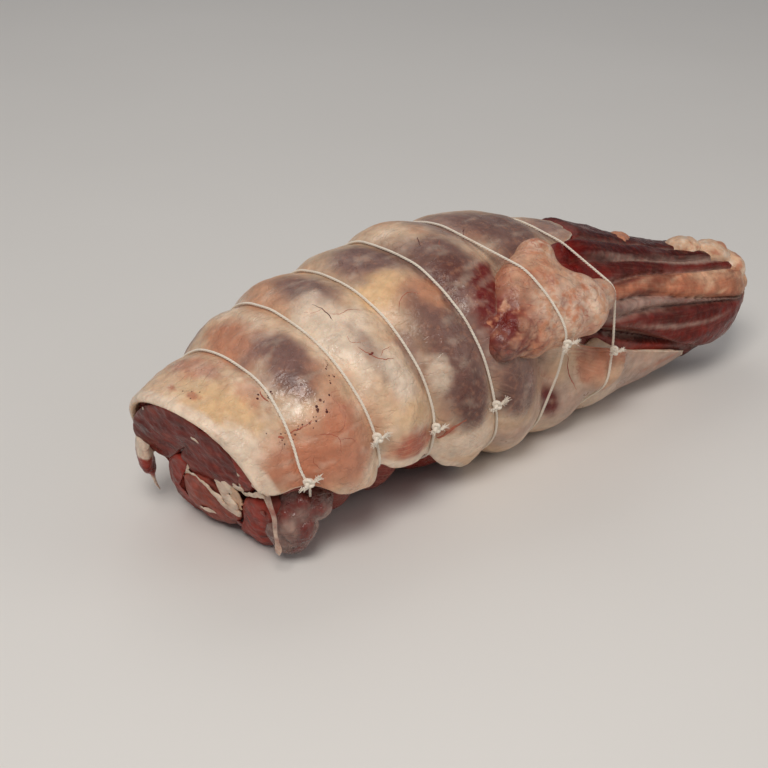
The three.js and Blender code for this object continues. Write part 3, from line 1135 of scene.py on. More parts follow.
@dataclass
class InnerMeat:
    """The meat under the outer layer, whose bundles lie bare beyond it and fold back at the far end."""

    under_layer: float = 2.6  # how far it lies under the skin where the outer layer covers it
    step_in: float = 6.5  # how much further in it lies under the front lip
    face_depth: float = 5.0  # how far its cut end lies inside the cut
    fold_at: float = 350.0  # the last station before the rounded far end
    fold_end: float = 357.0  # the far end's station
    columns: int = 270  # points round a section
    coarse: int = 70  # steps where it is covered
    fine: int = 165  # steps where it lies bare

    def bundles(self, along: Array, angle: Array) -> tuple[Array, Array, Array]:
        """Which bundle shows at each point, how far up its own breadth, and the nearness of its edges.

        Args:
            along: stations.
            angle: angles.

        Returns:
            The bundle's number, the place from 0 to 1 across it, and the distance to its edge in millimetres.
        """
        turned = np.where(fold(angle) < -1.5, fold(angle) + TURN, fold(angle))
        number = np.zeros(along.shape, int)
        across = np.zeros(along.shape)
        edge = np.full(along.shape, 99.0)
        for k, bundle in enumerate(SHANK_BUNDLES):
            low = through(along, SHANK_PLACES, bundle.low or SHANK_BUNDLES[k - 1].high)
            high = through(along, SHANK_PLACES, bundle.high)
            here = turned if k else fold(angle)
            share = (here - low) / (high - low)
            inside = (share >= 0) & (share < 1)
            number = np.where(inside, k, number)
            across = np.where(inside, share, across)
            near = np.minimum(np.abs(here - low), np.abs(here - high)) * RADIUS * 0.75
            edge = np.where(inside, near, edge)
        return number, across, edge

    def build(self) -> Piece:
        """Builds the meat: the skin drawn in by its depth, with its bundles raised beyond the outer layer."""
        first, last = ROLL.sections[0].along, self.fold_at
        stations = np.concatenate([
            np.linspace(first, 205, self.coarse, endpoint=False), np.linspace(205, last, self.fine),
        ])
        turns = np.linspace(0, math.pi / 2, 12)[1:-1]
        stations = np.concatenate([stations, np.full(len(turns), last)])
        shrink = np.concatenate([np.ones(self.coarse + self.fine), np.cos(turns)])
        push = np.concatenate([np.zeros(self.coarse + self.fine), (self.fold_end - last) * np.sin(turns)])
        push[0] = self.face_depth
        angles = np.linspace(-math.pi / 2, 1.5 * math.pi, self.columns, endpoint=False)
        along, angle = np.meshgrid(stations, angles, indexing="ij")
        skin = ROLL.skin(along, angle)
        out = facing_out(skin, True)
        bare = smooth(-1.0, 5.0, along - torn_end(angle))
        lip = lip_angle(along)
        below = 1 - smooth(-0.16, -0.02, fold(angle) - lip)
        below = below * smooth(-1.45, -0.6, fold(angle)) * (1 - smooth(196, 222, along))
        sunk = self.under_layer * (1 - bare) + self.step_in * below * (1 - bare)
        number, across, edge = self.bundles(along, angle)
        rises = np.array([bundle.rise for bundle in SHANK_BUNDLES])[number]
        ridge = rises * np.sqrt(np.clip(1 - (2 * across - 1) ** 4, 0, 1))
        groove = 1.6 * bell(edge, 1.6)
        crevice = 7.0 * bell((fold(angle) - through(along, SHANK_PLACES, SHANK_BUNDLES[0].high)) * 40, 3.2)
        crevice = crevice * (1 - smooth(280, 315, along))
        stretched = skin * [0.25, 1.0, 1.0]
        uneven = 0.9 * BROAD.layers(stretched, 9, 2) + 0.3 * UNEVEN.layers(skin, 4, 2)
        fading = 1 - smooth(335, 350, along)
        relief = bare * ((ridge - groove) * (0.35 + 0.65 * fading) - crevice + uneven)
        middle = skin.mean(axis=1, keepdims=True)
        points = skin + out * (relief - sunk)[..., None]
        points = middle + (points - middle) * shrink[:, None, None]
        points[..., 0] += push[:, None]
        points = on_table(points)
        marks = self.coat(along, angle, points, (number, across, edge), bare, below)
        return make_piece("inner_meat", round_shape(points, marks), CUT_MEAT)

    @staticmethod
    def coat(along: Array, angle: Array, points: Array, bundle: tuple[Array, Array, Array],
             bare: Array, below: Array) -> dict[str, Array]:
        """The meat's colours: each bundle's tissue, with pale fascia along the bundles' edges.

        Args:
            along: stations.
            angle: angles.
            points: places, for the noise.
            bundle: which bundle shows, the place across it and the distance to its edge.
            bare: where it lies bare.
            below: where it shows under the lip.

        Returns:
            The marks by name.
        """
        number, across, edge = bundle
        colours = np.array([bundle.tissue.light for bundle in SHANK_BUNDLES])
        streaks = np.array([bundle.streaks for bundle in SHANK_BUNDLES])
        wet = np.array([bundle.wet for bundle in SHANK_BUNDLES])
        noise = BLOTCH.layers(points * [0.3, 1, 1], 6, 3)
        broad = BROAD.layers(points * [0.5, 1, 1], 16, 2)
        drawn = BLOTCH.layers(points * [0.12, 1, 1] + 30, 3.5, 3)
        specks = BLOTCH.layers(points * [0.35, 1, 1], 9, 3)
        fascia = bell(edge + 0.8 * noise, 1.5) * (0.5 + 0.5 * smooth(-0.4, 0.4, broad))
        bone = (number == BONE) * 1.0
        tint = dyed(
            colours[number], points,
            (Tissue.DARK_MEAT, 0.6 * smooth(0.1, 0.8, noise) * (number != BONE)),
            (Tissue.MAUVE, 0.45 * smooth(0.25, 0.8, -noise + 0.3 * broad) * (number != BONE)),
            (Tissue.MEMBRANE, 0.85 * fascia * bare),
            (Tissue.GRISTLE, bone * 0.8 * smooth(0.1, 0.5, drawn)),
            (Tissue.MAROON, bone * 0.6 * smooth(0.2, 0.7, -drawn)),
            (Tissue.MAROON, bone * 0.75 * (1 - smooth(250, 300, along + 14 * noise))),
            (Tissue.ORANGE_MEAT, bone * 0.8 * smooth(0.0, 0.5, specks)),
            (Tissue.GRISTLE, bone * 0.7 * smooth(0.1, 0.6, broad)),
            (Tissue.BLOOD, bone * 0.5 * bell(across - 0.05, 0.12) * smooth(-0.1, 0.4, noise)),
            *((patch.tissue, patch.cover(along, fold(angle), points) * bare) for patch in SHANK_PATCHES),
            (Tissue.FRESH_MEAT, (1 - bare) * 0.7),
            (Tissue.MAUVE, (1 - bare) * 0.6 * smooth(-0.2, 0.5, broad)),
        )
        fibrous = streaks[number] * bare + 0.4 * below * (1 - bare)
        return {"tint": tint, "wet": wet[number], "streaks": fibrous}


# ---- the cut end
@dataclass(frozen=True)
class CutPlane:
    """The plane of the cut: its stations fall with height and towards the back."""

    foot: float = 41.2  # station at Y 0 on the table
    fall: float = 0.5  # stations lost for each millimetre up
    slant: float = 0.13  # stations lost for each millimetre to the back

    @property
    def out(self) -> Array:
        """The unit direction out of the meat."""
        return -unit(np.array([1.0, self.slant, self.fall]))

    def point(self, flat: Array, height: Array | float) -> Array:
        """Points over the plane, or under it straight along the leg.

        Args:
            flat: Y and Z of each.
            height: how far each stands proud of the plane.

        Returns:
            The points.
        """
        station = self.foot - self.slant * flat[..., 0] - self.fall * flat[..., 1]
        base = np.concatenate([station[..., None], flat], axis=-1)
        height = np.asarray(height)[..., None]
        return base + self.out * np.maximum(height, 0) + np.array([-1.0, 0.0, 0.0]) * np.minimum(height, 0)


CUT = CutPlane()


@dataclass(frozen=True)
class CutMuscle:
    """A muscle cut across, seen on the cut end."""

    name: str  # the piece's name
    outline: tuple[tuple[float, float], ...]  # Y and Z round its edge
    proud: float  # how far its face stands out of the cut
    crown: float  # how much its middle bulges
    edge: float  # radius of its rounded edge
    depth: float  # how far it goes in
    tissue: Tissue  # its colour

    def build(self) -> Piece:
        """Builds it: its outline drawn in towards the middle over the face, and straight down at its edge.

        A ring is the outline brought in by an inset and lifted to a height: across the face the height is a
        dome's, round the edge a quarter circle's, and down the side it falls evenly.
        """
        rim = path_through(self.outline, 150, closed=True)
        middle = rim.mean(axis=0)
        reach = np.linalg.norm(rim - middle, axis=1)
        face = np.linspace(0.03, 1, 26)[:-1]
        arc = np.linspace(0, math.pi / 2, 9)
        down = np.linspace(0, self.depth, 12)[1:]
        inset = np.concatenate([
            (reach - self.edge)[None, :] * (1 - face[:, None]) + self.edge,
            np.broadcast_to(self.edge * (1 - np.sin(arc))[:, None], (9, len(rim))),
            np.broadcast_to(0.12 * down[:, None], (11, len(rim))),
        ])
        height = np.concatenate([
            self.proud + self.crown * (1 - face**2), self.proud - self.edge * (1 - np.cos(arc)),
            self.proud - self.edge - down,
        ])
        flat = middle + (rim - middle) * (1 - inset / reach)[..., None]
        rings = CUT.point(flat, height[:, None] + np.zeros(len(rim)))
        on_face = np.concatenate([np.ones(25), np.cos(arc), np.zeros(11)])[:, None]
        swell = 0.9 * BROAD.layers(rings, 11, 2) + 0.35 * UNEVEN.layers(rings, 4, 2)
        rings = rings + CUT.out * (swell * (0.3 + 0.7 * on_face))[..., None]
        rings = on_table(rings)
        noise = BLOTCH.layers(rings, 7, 3)
        fine = BLOTCH.layers(rings + 40, 2.6, 2)
        rimward = bell((inset - self.edge) * (on_face > 0), 1.6)
        tint = dyed(
            self.tissue, rings,
            (Tissue.DARK_MEAT, 0.6 * smooth(0.1, 0.8, noise)),
            (Tissue.PINK_MEAT, 0.5 * smooth(0.1, 0.7, -noise)),
            (Tissue.MAUVE, 0.3 * smooth(0.35, 0.8, fine) * on_face),
            (Tissue.MAUVE, 0.3 * rimward),
        )
        marks = {"tint": tint, "wet": 0.5 + 0.4 * noise, "streaks": 0.04}
        return make_piece(self.name, round_shape(rings, marks), CUT_MEAT)


@dataclass(frozen=True)
class Strand:
    """A strand of fat, sinew or fascia along the cut end."""

    route: tuple[Spot, ...]  # its points: Y, Z and how far proud of the cut
    widths: tuple[float, ...]  # its half width along the way
    tissue: Tissue = Tissue.PALE_FAT  # its colour
    flat: float = 0.26  # its thickness of its width

    def shape(self) -> Shape:
        """Its shape: a flattened section whose width runs through the given ones and wanders by noise."""
        count = max(24, 9 * len(self.route))
        walk = path_through(self.route, count)
        points = CUT.point(walk[:, :2], walk[:, 2] - 1.2)
        share = np.linspace(0, 1, count)
        width = through(share, np.linspace(0, 1, len(self.widths)), self.widths)
        ends = np.sqrt(np.clip(1 - (1 - np.minimum(share, 1 - share) * 10).clip(0, 1) ** 2, 0.02, 1))
        uneven = 1.05 + 0.6 * UNEVEN.layers(points, 4, 3)
        points = points + 0.5 * np.stack([UNEVEN.layers(points + k, 4, 2) for k in (0, 50, 90)], axis=1)
        made = tube(points, width * ends * uneven, 12, self.flat, face=CUT.out)
        noise = BLOTCH.layers(made.points, 4, 3)
        tint = dyed(
            self.tissue, made.points,
            (Tissue.PEACH, 0.6 * smooth(0.1, 0.7, noise)),
            (Tissue.BLOOD, 0.25 * smooth(0.35, 0.8, -noise)),
        )
        return made.marked(tint=tint, wet=0.6)


@dataclass(frozen=True)
class Lobe:
    """A soft lump of meat, fat or bone, seen from all round its middle."""

    at: Spot  # its middle
    size: Spot  # its three half lengths
    turn: Spot = (0.0, 0.0, 0.0)  # degrees by which it is turned about X, Y and Z, in that order
    uneven: float = 1.2  # height of its unevenness, in millimetres
    grain: float = 9.0  # size of that unevenness

    def rings(self, rows: int = 70, columns: int = 110) -> Array:
        """Its points: an ellipsoid's, moved out and in along their own directions by noise."""
        ways = directions(rows, columns)
        points = ways * np.array(self.size)
        for axis, degrees in enumerate(self.turn):
            c, s = math.cos(math.radians(degrees)), math.sin(math.radians(degrees))
            first, second = (axis + 1) % 3, (axis + 2) % 3
            a, b = points[..., first].copy(), points[..., second].copy()
            points[..., first], points[..., second] = a * c - b * s, a * s + b * c
        points = points + np.array(self.at)
        noise = BROAD.layers(points, self.grain, 3)
        return on_table(points + unit(points - np.array(self.at)) * (self.uneven * noise)[..., None])


MUSCLES = (
    CutMuscle("cut_muscle_inner", (
        (31, 52), (20, 63), (8, 71), (-3, 75), (-14, 75), (-22, 71), (-22, 64), (-13, 57), (-3, 51), (5, 46),
        (14, 38), (24, 33), (33, 36), (37, 42),
    ), 0.6, 1.0, 1.6, 14, Tissue.MAROON),
    CutMuscle("cut_muscle_middle", (
        (-5, 57), (-14, 62), (-22, 70), (-29, 69), (-35, 63), (-37, 57), (-34, 49), (-28, 40), (-21, 34),
        (-14, 33), (-6, 32), (2, 32), (8, 34), (7, 42), (0, 50),
    ), 1.0, 1.4, 1.8, 14, Tissue.MAROON),
    CutMuscle("cut_muscle_outer", (
        (-37, 63), (-39, 57), (-39, 50), (-37, 43), (-32, 38), (-27, 37), (-29, 45), (-34, 54),
    ), 0.6, 0.8, 1.4, 14, Tissue.FRESH_MEAT),
    CutMuscle("cut_muscle_round", (
        (12, 30), (3, 34), (-5, 34), (-9, 29), (-12, 23), (-14, 18), (-12, 12), (-5, 6), (5, 3), (14, 3),
        (19, 8), (20, 15), (17, 22),
    ), 3.2, 1.8, 2.6, 16, Tissue.PINK_MEAT),
    CutMuscle("cut_muscle_side", (
        (17, 37), (9, 42), (4, 40), (9, 33), (16, 25), (19, 17), (21, 9), (16, 3), (20, 0), (28, 2),
        (31, 8), (30, 18), (25, 28),
    ), 2.0, 1.5, 3.0, 16, Tissue.FRESH_MEAT),
    CutMuscle("cut_muscle_low", (
        (-8, 4), (-15, 15), (-21, 26), (-29, 34), (-38, 37), (-42, 33), (-38, 22), (-33, 11), (-27, 3),
        (-16, 0),
    ), 3.0, 2.0, 3.0, 15, Tissue.FRESH_MEAT),
)

STRANDS = (
    Strand(((13, 30, 2.5), (8, 33, 3.0), (2, 34, 3.4), (-3, 33, 4.2), (-7, 29, 4.6), (-11, 23, 4.6),
            (-13, 18, 4.6)), (0.9, 1.3, 1.0, 1.4, 2.2, 3.0, 2.0)),
    Strand(((-14, 45, 1.8), (-18, 42, 2.4), (-17, 37, 2.8), (-14, 31, 3.6), (-16, 25, 4.6), (-15, 18, 4.8)),
           (1.2, 2.4, 3.8, 2.6, 4.2, 1.6)),
    Strand(((-20, 38, 2.0), (-21, 34, 2.4), (-20, 29, 3.0), (-19, 23, 3.6)),
           (1.6, 2.8, 3.0, 1.6), Tissue.GRISTLE),
    Strand(((-22, 37, 2.2), (-26, 39, 2.6), (-30, 40, 2.8)), (1.0, 1.8, 1.2)),
    Strand(((7, 41, 1.6), (7, 37, 2.4), (11, 33, 2.8), (14, 28, 3.2)), (1.6, 2.0, 1.3, 1.0)),
    Strand(((-38, 63, 1.4), (-35, 55, 1.8), (-31, 46, 1.8), (-28, 40, 1.8), (-22, 37, 1.8)),
           (0.4, 0.7, 0.9, 1.0, 0.5)),
    Strand(((-27, 40, 1.8), (-28, 36, 2.4), (-32, 38, 2.8), (-37, 40, 2.8), (-42, 42, 2.0)),
           (0.8, 1.0, 1.2, 1.8, 2.2)),
    Strand(((-36, 45, 1.0), (-41, 44, 1.2), (-45, 43, 1.0)), (1.6, 3.0, 2.0)),
    Strand(((11, 12, 5.8), (5, 14, 6.4), (-1, 14, 6.2)), (0.8, 1.5, 0.4)),
    Strand(((-14, 63, 2.2), (-18, 62, 2.4)), (1.0, 1.3)),
    Strand(((3, 66, 1.9), (4, 61, 2.0), (1, 57, 1.9)), (0.3, 0.45, 0.2)),
    Strand(((12, 69, 1.6), (15, 64, 1.7)), (0.35, 0.3)),
    Strand(((14, 57, 2.0), (14, 53, 2.0)), (0.3, 0.4)),
    Strand(((-15, 44, 1.6), (-17, 43, 1.6)), (1.5, 1.9), Tissue.BLOOD),
    Strand(((-20, 39, 1.8), (-22, 37, 1.8)), (1.3, 1.9), Tissue.BLOOD),
    Strand(((-9, 8, 3.4), (-12, 12, 3.6)), (1.6, 2.2), Tissue.BLOOD),
    Strand(((-38, 33, 4.6), (-40, 31, 4.6)), (1.6, 1.5), Tissue.BLOOD),
    Strand(((6, 44, 0.4), (3, 48, 0.2), (1, 50, 0.2)), (1.2, 1.3, 0.7), Tissue.DARK_MEAT),
)


@dataclass
class CutEnd:
    """The cut end: muscles inside the rim, their seams, two loose lobes, a tendon and a hanging flap."""

    def build(self) -> list[Piece]:
        """Builds all of the cut end's pieces."""
        made = [muscle.build() for muscle in MUSCLES]
        made.append(make_piece("cut_seams", joined([s.shape() for s in STRANDS]), FAT_AND_SKIN))
        made.append(self.lobe("loose_lobe_front", Lobe((44, -37, 22), (12.5, 12, 17.5), (0, 0, 15), 1.8, 9)))
        made.append(self.lobe("loose_lobe_back", Lobe((52, -40, 27), (10.5, 9.5, 9.5), (0, 0, 0), 1.0, 9)))
        made.append(self.tendon())
        made.append(self.flap())
        return made

    @staticmethod
    def lobe(name: str, lobe: Lobe) -> Piece:
        """A loose glossy lobe: dark meat in mauve silverskin, with pale fascia and red patches."""
        rings = lobe.rings(90, 140)
        noise = BLOTCH.layers(rings, 9, 3)
        low = smooth(16, 4, rings[..., 2])
        tint = dyed(
            Tissue.MAUVE, rings,
            (Tissue.MAROON, 0.8 * smooth(-0.1, 0.5, noise)),
            (Tissue.MEMBRANE, 0.5 * smooth(0.0, 0.6, -noise)),
            (Tissue.DARK_MEAT, 0.6 * low),
            (Tissue.BLOOD, 0.4 * low * smooth(0.1, 0.5, noise)),
        )
        return make_piece(name, round_shape(rings, {"tint": tint, "wet": 0.95, "streaks": 0.1}), SLICK_MEAT)

    @staticmethod
    def tendon() -> Piece:
        """The pale tendon that hangs down between the cut muscles and the loose lobe, with a drop's end."""
        walk = path_through((
            (27, -41, 43), (27.5, -43, 37), (28, -45.5, 31), (28, -46, 24), (29, -46, 17), (30, -45.5, 11.5),
        ), 60)
        share = np.linspace(0, 1, 60)
        width = through(share, (0, 0.25, 0.5, 0.75, 0.92, 1), (1.9, 1.2, 1.0, 0.9, 1.5, 0.3))
        made = tube(walk, width, 14, 0.6, face=np.array([-0.7, -0.6, 0.1]))
        noise = BLOTCH.layers(made.points, 4, 3)
        tint = dyed(
            Tissue.MEMBRANE, made.points,
            (Tissue.WHITE_SINEW, 0.7 * smooth(-0.2, 0.5, noise)),
            (Tissue.FRESH_MEAT, 0.5 * smooth(0.2, 0.6, -noise)),
        )
        return make_piece("tendon", made.marked(tint=tint, wet=0.8), FAT_AND_SKIN)

    @staticmethod
    def flap() -> Piece:
        """The flap that hangs from the back of the rim: fat above, red meat, and a pale drawn-out tip."""
        walk = path_through((
            (17, 33, 41), (19, 36, 35), (21, 39, 28), (24, 41, 22), (26, 42, 15), (28, 43, 9), (30, 43, 4.5),
        ), 90)
        share = np.linspace(0, 1, 90)
        width = through(share, (0, 0.2, 0.45, 0.62, 0.75, 0.9, 1), (7.0, 9.2, 8.0, 5.2, 2.2, 1.4, 0.5))
        made = tube(walk, width, 40, 0.42, face=np.array([-0.8, 0.3, 0.2]))
        noise = BLOTCH.layers(made.points, 6, 3)
        inward = made.points - np.array([21, 39, 25])
        made.points = made.points + unit(inward) * (0.7 * noise)[:, None]
        height = made.points[:, 2]
        fat_line = height + 3 * noise - 0.25 * (made.points[:, 1] - 39)
        tint = dyed(
            Tissue.FRESH_MEAT, made.points,
            (Tissue.MAROON, 0.7 * smooth(0.0, 0.5, noise)),
            (Tissue.PALE_FAT, smooth(32, 35, fat_line)),
            (Tissue.BLOOD, 0.7 * bell(height - 24, 5) * smooth(-0.1, 0.4, noise)),
            (Tissue.WHITE_SINEW, smooth(17, 13, height + 2 * noise)),
        )
        on_table(made.points)
        return make_piece("hanging_flap", made.marked(tint=tint, wet=0.7, streaks=0.2), CUT_MEAT)


# ---- the knuckle
@dataclass(frozen=True)
class Knob:
    """A round-ended limb of the knuckle, from the knuckle's heart."""

    end: Spot  # middle of its round end
    size: float  # radius of that end


KNUCKLE_HEART = np.array([186.0, -44.0, 79.0])
KNOBS = (
    Knob((166, -46, 81), 15.0),
    Knob((204, -54, 79), 14.5),
    Knob((195, -33, 100), 9.5),
    Knob((183, -39, 93), 12.5),
    Knob((150, -55, 73), 8.5),
    Knob((168, -56, 71), 9.5),
    Knob((147, -44, 83), 8.5),
    Knob((205, -59, 74), 9.0),
    Knob((221, -54, 78), 8.5),
    Knob((171, -43, 91), 10.5),
    Knob((188, -57, 76), 10.0),
    Knob((158, -57, 81), 7.0),
)

KNUCKLE_HIGHLIGHTS = (
    ((200, -60, 84), 13), ((213, -62, 78), 10), ((178, -60, 86), 13), ((195, -38, 105), 9),
    ((186, -62, 74), 8),
)


@dataclass
class Knuckle:
    """The knuckle: a knot of bone ends, gristle and fat, with a horn that stands up."""

    soft: float = 5.4  # how widely its limbs blend, in millimetres
    rows: int = 250  # rings of directions
    columns: int = 330  # directions round a ring

    @staticmethod
    def reach(ways: Array, knob: Knob) -> Array:
        """How far a ray from the heart runs before it leaves a limb.

        The limb is a rod with a round end: a ray leaves it through its side, at its radius over the sine
        of the angle between them, or through its round end, at the far crossing of a sphere.

        Args:
            ways: the rays' unit directions.
            knob: the limb.

        Returns:
            The distances.
        """
        arm = np.array(knob.end) - KNUCKLE_HEART
        length = np.linalg.norm(arm)
        cosine = ways @ (arm / length)
        sine = np.sqrt(np.clip(1 - cosine**2, 1e-9, 1))
        side = knob.size / sine
        dip = np.clip(knob.size**2 - (length * sine) ** 2, 0, None)
        end = length * cosine + np.sqrt(dip)
        far = np.where(side * cosine > length, end, side)
        return np.where(cosine < 0, knob.size, far)

    def build(self) -> Piece:
        """Builds it: each way, the farthest reach of any limb, softly joined, with wrinkles on top."""
        ways = directions(self.rows, self.columns)
        reaches = np.stack([self.reach(ways, knob) for knob in KNOBS])
        order = np.sort(reaches, axis=0)
        peak = order[-1]
        far = peak + self.soft * np.log(np.sum(np.exp((reaches - peak) / self.soft), axis=0)) - 4.0
        points = KNUCKLE_HEART + ways * far[..., None]
        crease = bell(order[-1] - order[-2], 1.2) * smooth(9, 14, far)
        wrinkle = 1 - np.abs(BLOTCH.layers(points * [1, 1, 1.3], 10, 3)) * 2.2
        near, second = cells(points + 0.8 * UNEVEN.layers(points, 5, 2)[..., None], 7.0)
        knobbly = 0.06 + 0.94 * bell(np.linalg.norm(points - np.array([158, -60, 72]), axis=-1), 13)
        cleft = (1 - smooth(0.03, 0.22, second - near)) * knobbly
        far = far + knobbly * (1.5 * (1 - smooth(0.0, 0.75, near)) - 0.6) - 0.6 * cleft
        far = far + 0.5 * BROAD.layers(points, 16, 2) - 0.12 * smooth(0.6, 1.0, wrinkle)
        points = KNUCKLE_HEART + ways * far[..., None]
        crease = crease * (0.3 + 0.7 * knobbly)
        tint = self.coat(points, np.maximum(crease, cleft), wrinkle, knobbly * (1 - smooth(0.2, 0.6, near)))
        marks = {"tint": tint, "wet": 0.45 + 0.4 * BROAD.layers(points, 8, 2), "veins": 0.9}
        return make_piece("knuckle", round_shape(points, marks), KNUCKLE_BONE)

    @staticmethod
    def coat(points: Array, crease: Array, wrinkle: Array, nodule: Array) -> Array:
        """Its colours: tan gristle, cream highlights, blood in the creases and on the left, a mauve knob.

        Args:
            points: places.
            crease: where two limbs meet.
            wrinkle: the fine wrinkles.
            nodule: the tops of the small nodules.

        Returns:
            The tint.
        """
        noise = BLOTCH.layers(points, 11, 3)
        fine = BLOTCH.layers(points + 60, 4, 3)
        left = np.linalg.norm((points - [149, -50, 82]) * [0.9, 0.8, 0.75], axis=-1)
        blood = 1.5 * bell(left, 15) * smooth(-0.9, -0.1, noise + fine)
        lit = smooth(-0.5, 0.4, fine)
        knob = np.linalg.norm(points - [148, -60, 70], axis=-1)
        grey = np.linalg.norm((points - [222, -58, 76]) * [1, 1, 0.6], axis=-1)
        return dyed(
            Tissue.BONE_TAN, points,
            (Tissue.ORANGE_MEAT, 0.6 * smooth(0.1, 0.7, -noise)),
            (Tissue.GRISTLE, 0.5 * smooth(-0.3, 0.35, noise)),
            *((Tissue.PALE_FAT, 0.85 * bell(np.linalg.norm(points - place, axis=-1), size) * lit)
              for place, size in KNUCKLE_HIGHLIGHTS),
            (Tissue.FRESH_MEAT, 0.4 * smooth(0.8, 1.0, wrinkle) * smooth(-0.3, 0.3, fine)),
            (Tissue.GRISTLE, 0.6 * nodule),
            (Tissue.BLOOD, 0.8 * crease * smooth(-0.2, 0.3, fine)),
            (Tissue.BLOOD, np.minimum(blood, 0.97) * (1 - 0.75 * nodule)),
            (Tissue.MAUVE, 0.85 * bell(knob, 9)),
            (Tissue.SILVERSKIN, 0.4 * bell(grey, 7)),
        )


NUBS = (
    Lobe((320, -25, 66), (11, 9, 6.5), (0, 12, 0), 1.0, 8),
    Lobe((336, -31, 60), (13, 11, 8), (0, 22, 10), 1.2, 9),
    Lobe((344, -36, 52), (9, 11, 10), (0, 0, 0), 1.2, 9),
    Lobe((278, -14, 78), (8, 6, 4), (0, 0, 0), 1.2, 6),
    Lobe((146, 34, 94), (6, 5, 4.5), (0, 0, 0), 0.6, 6),
)


def build_nubs() -> Piece:
    """Small knobs of fat and gristle: at the far end, beyond the layer's torn edge, and on the back."""
    shapes = []
    for k, nub in enumerate(NUBS):
        rings = nub.rings(44, 64)
        noise = BLOTCH.layers(rings, 6, 3)
        tint = dyed(
            Tissue.BONE_TAN if k == 3 else Tissue.GRISTLE, rings,
            (Tissue.PALE_FAT, 0.7 * smooth(0.0, 0.5, noise)),
            (Tissue.ORANGE_MEAT, 0.8 * smooth(0.1, 0.6, -noise)),
        )
        shapes.append(round_shape(rings, {"tint": tint, "wet": 0.5}))
    return make_piece("fat_nubs", joined(shapes), FAT_AND_SKIN)


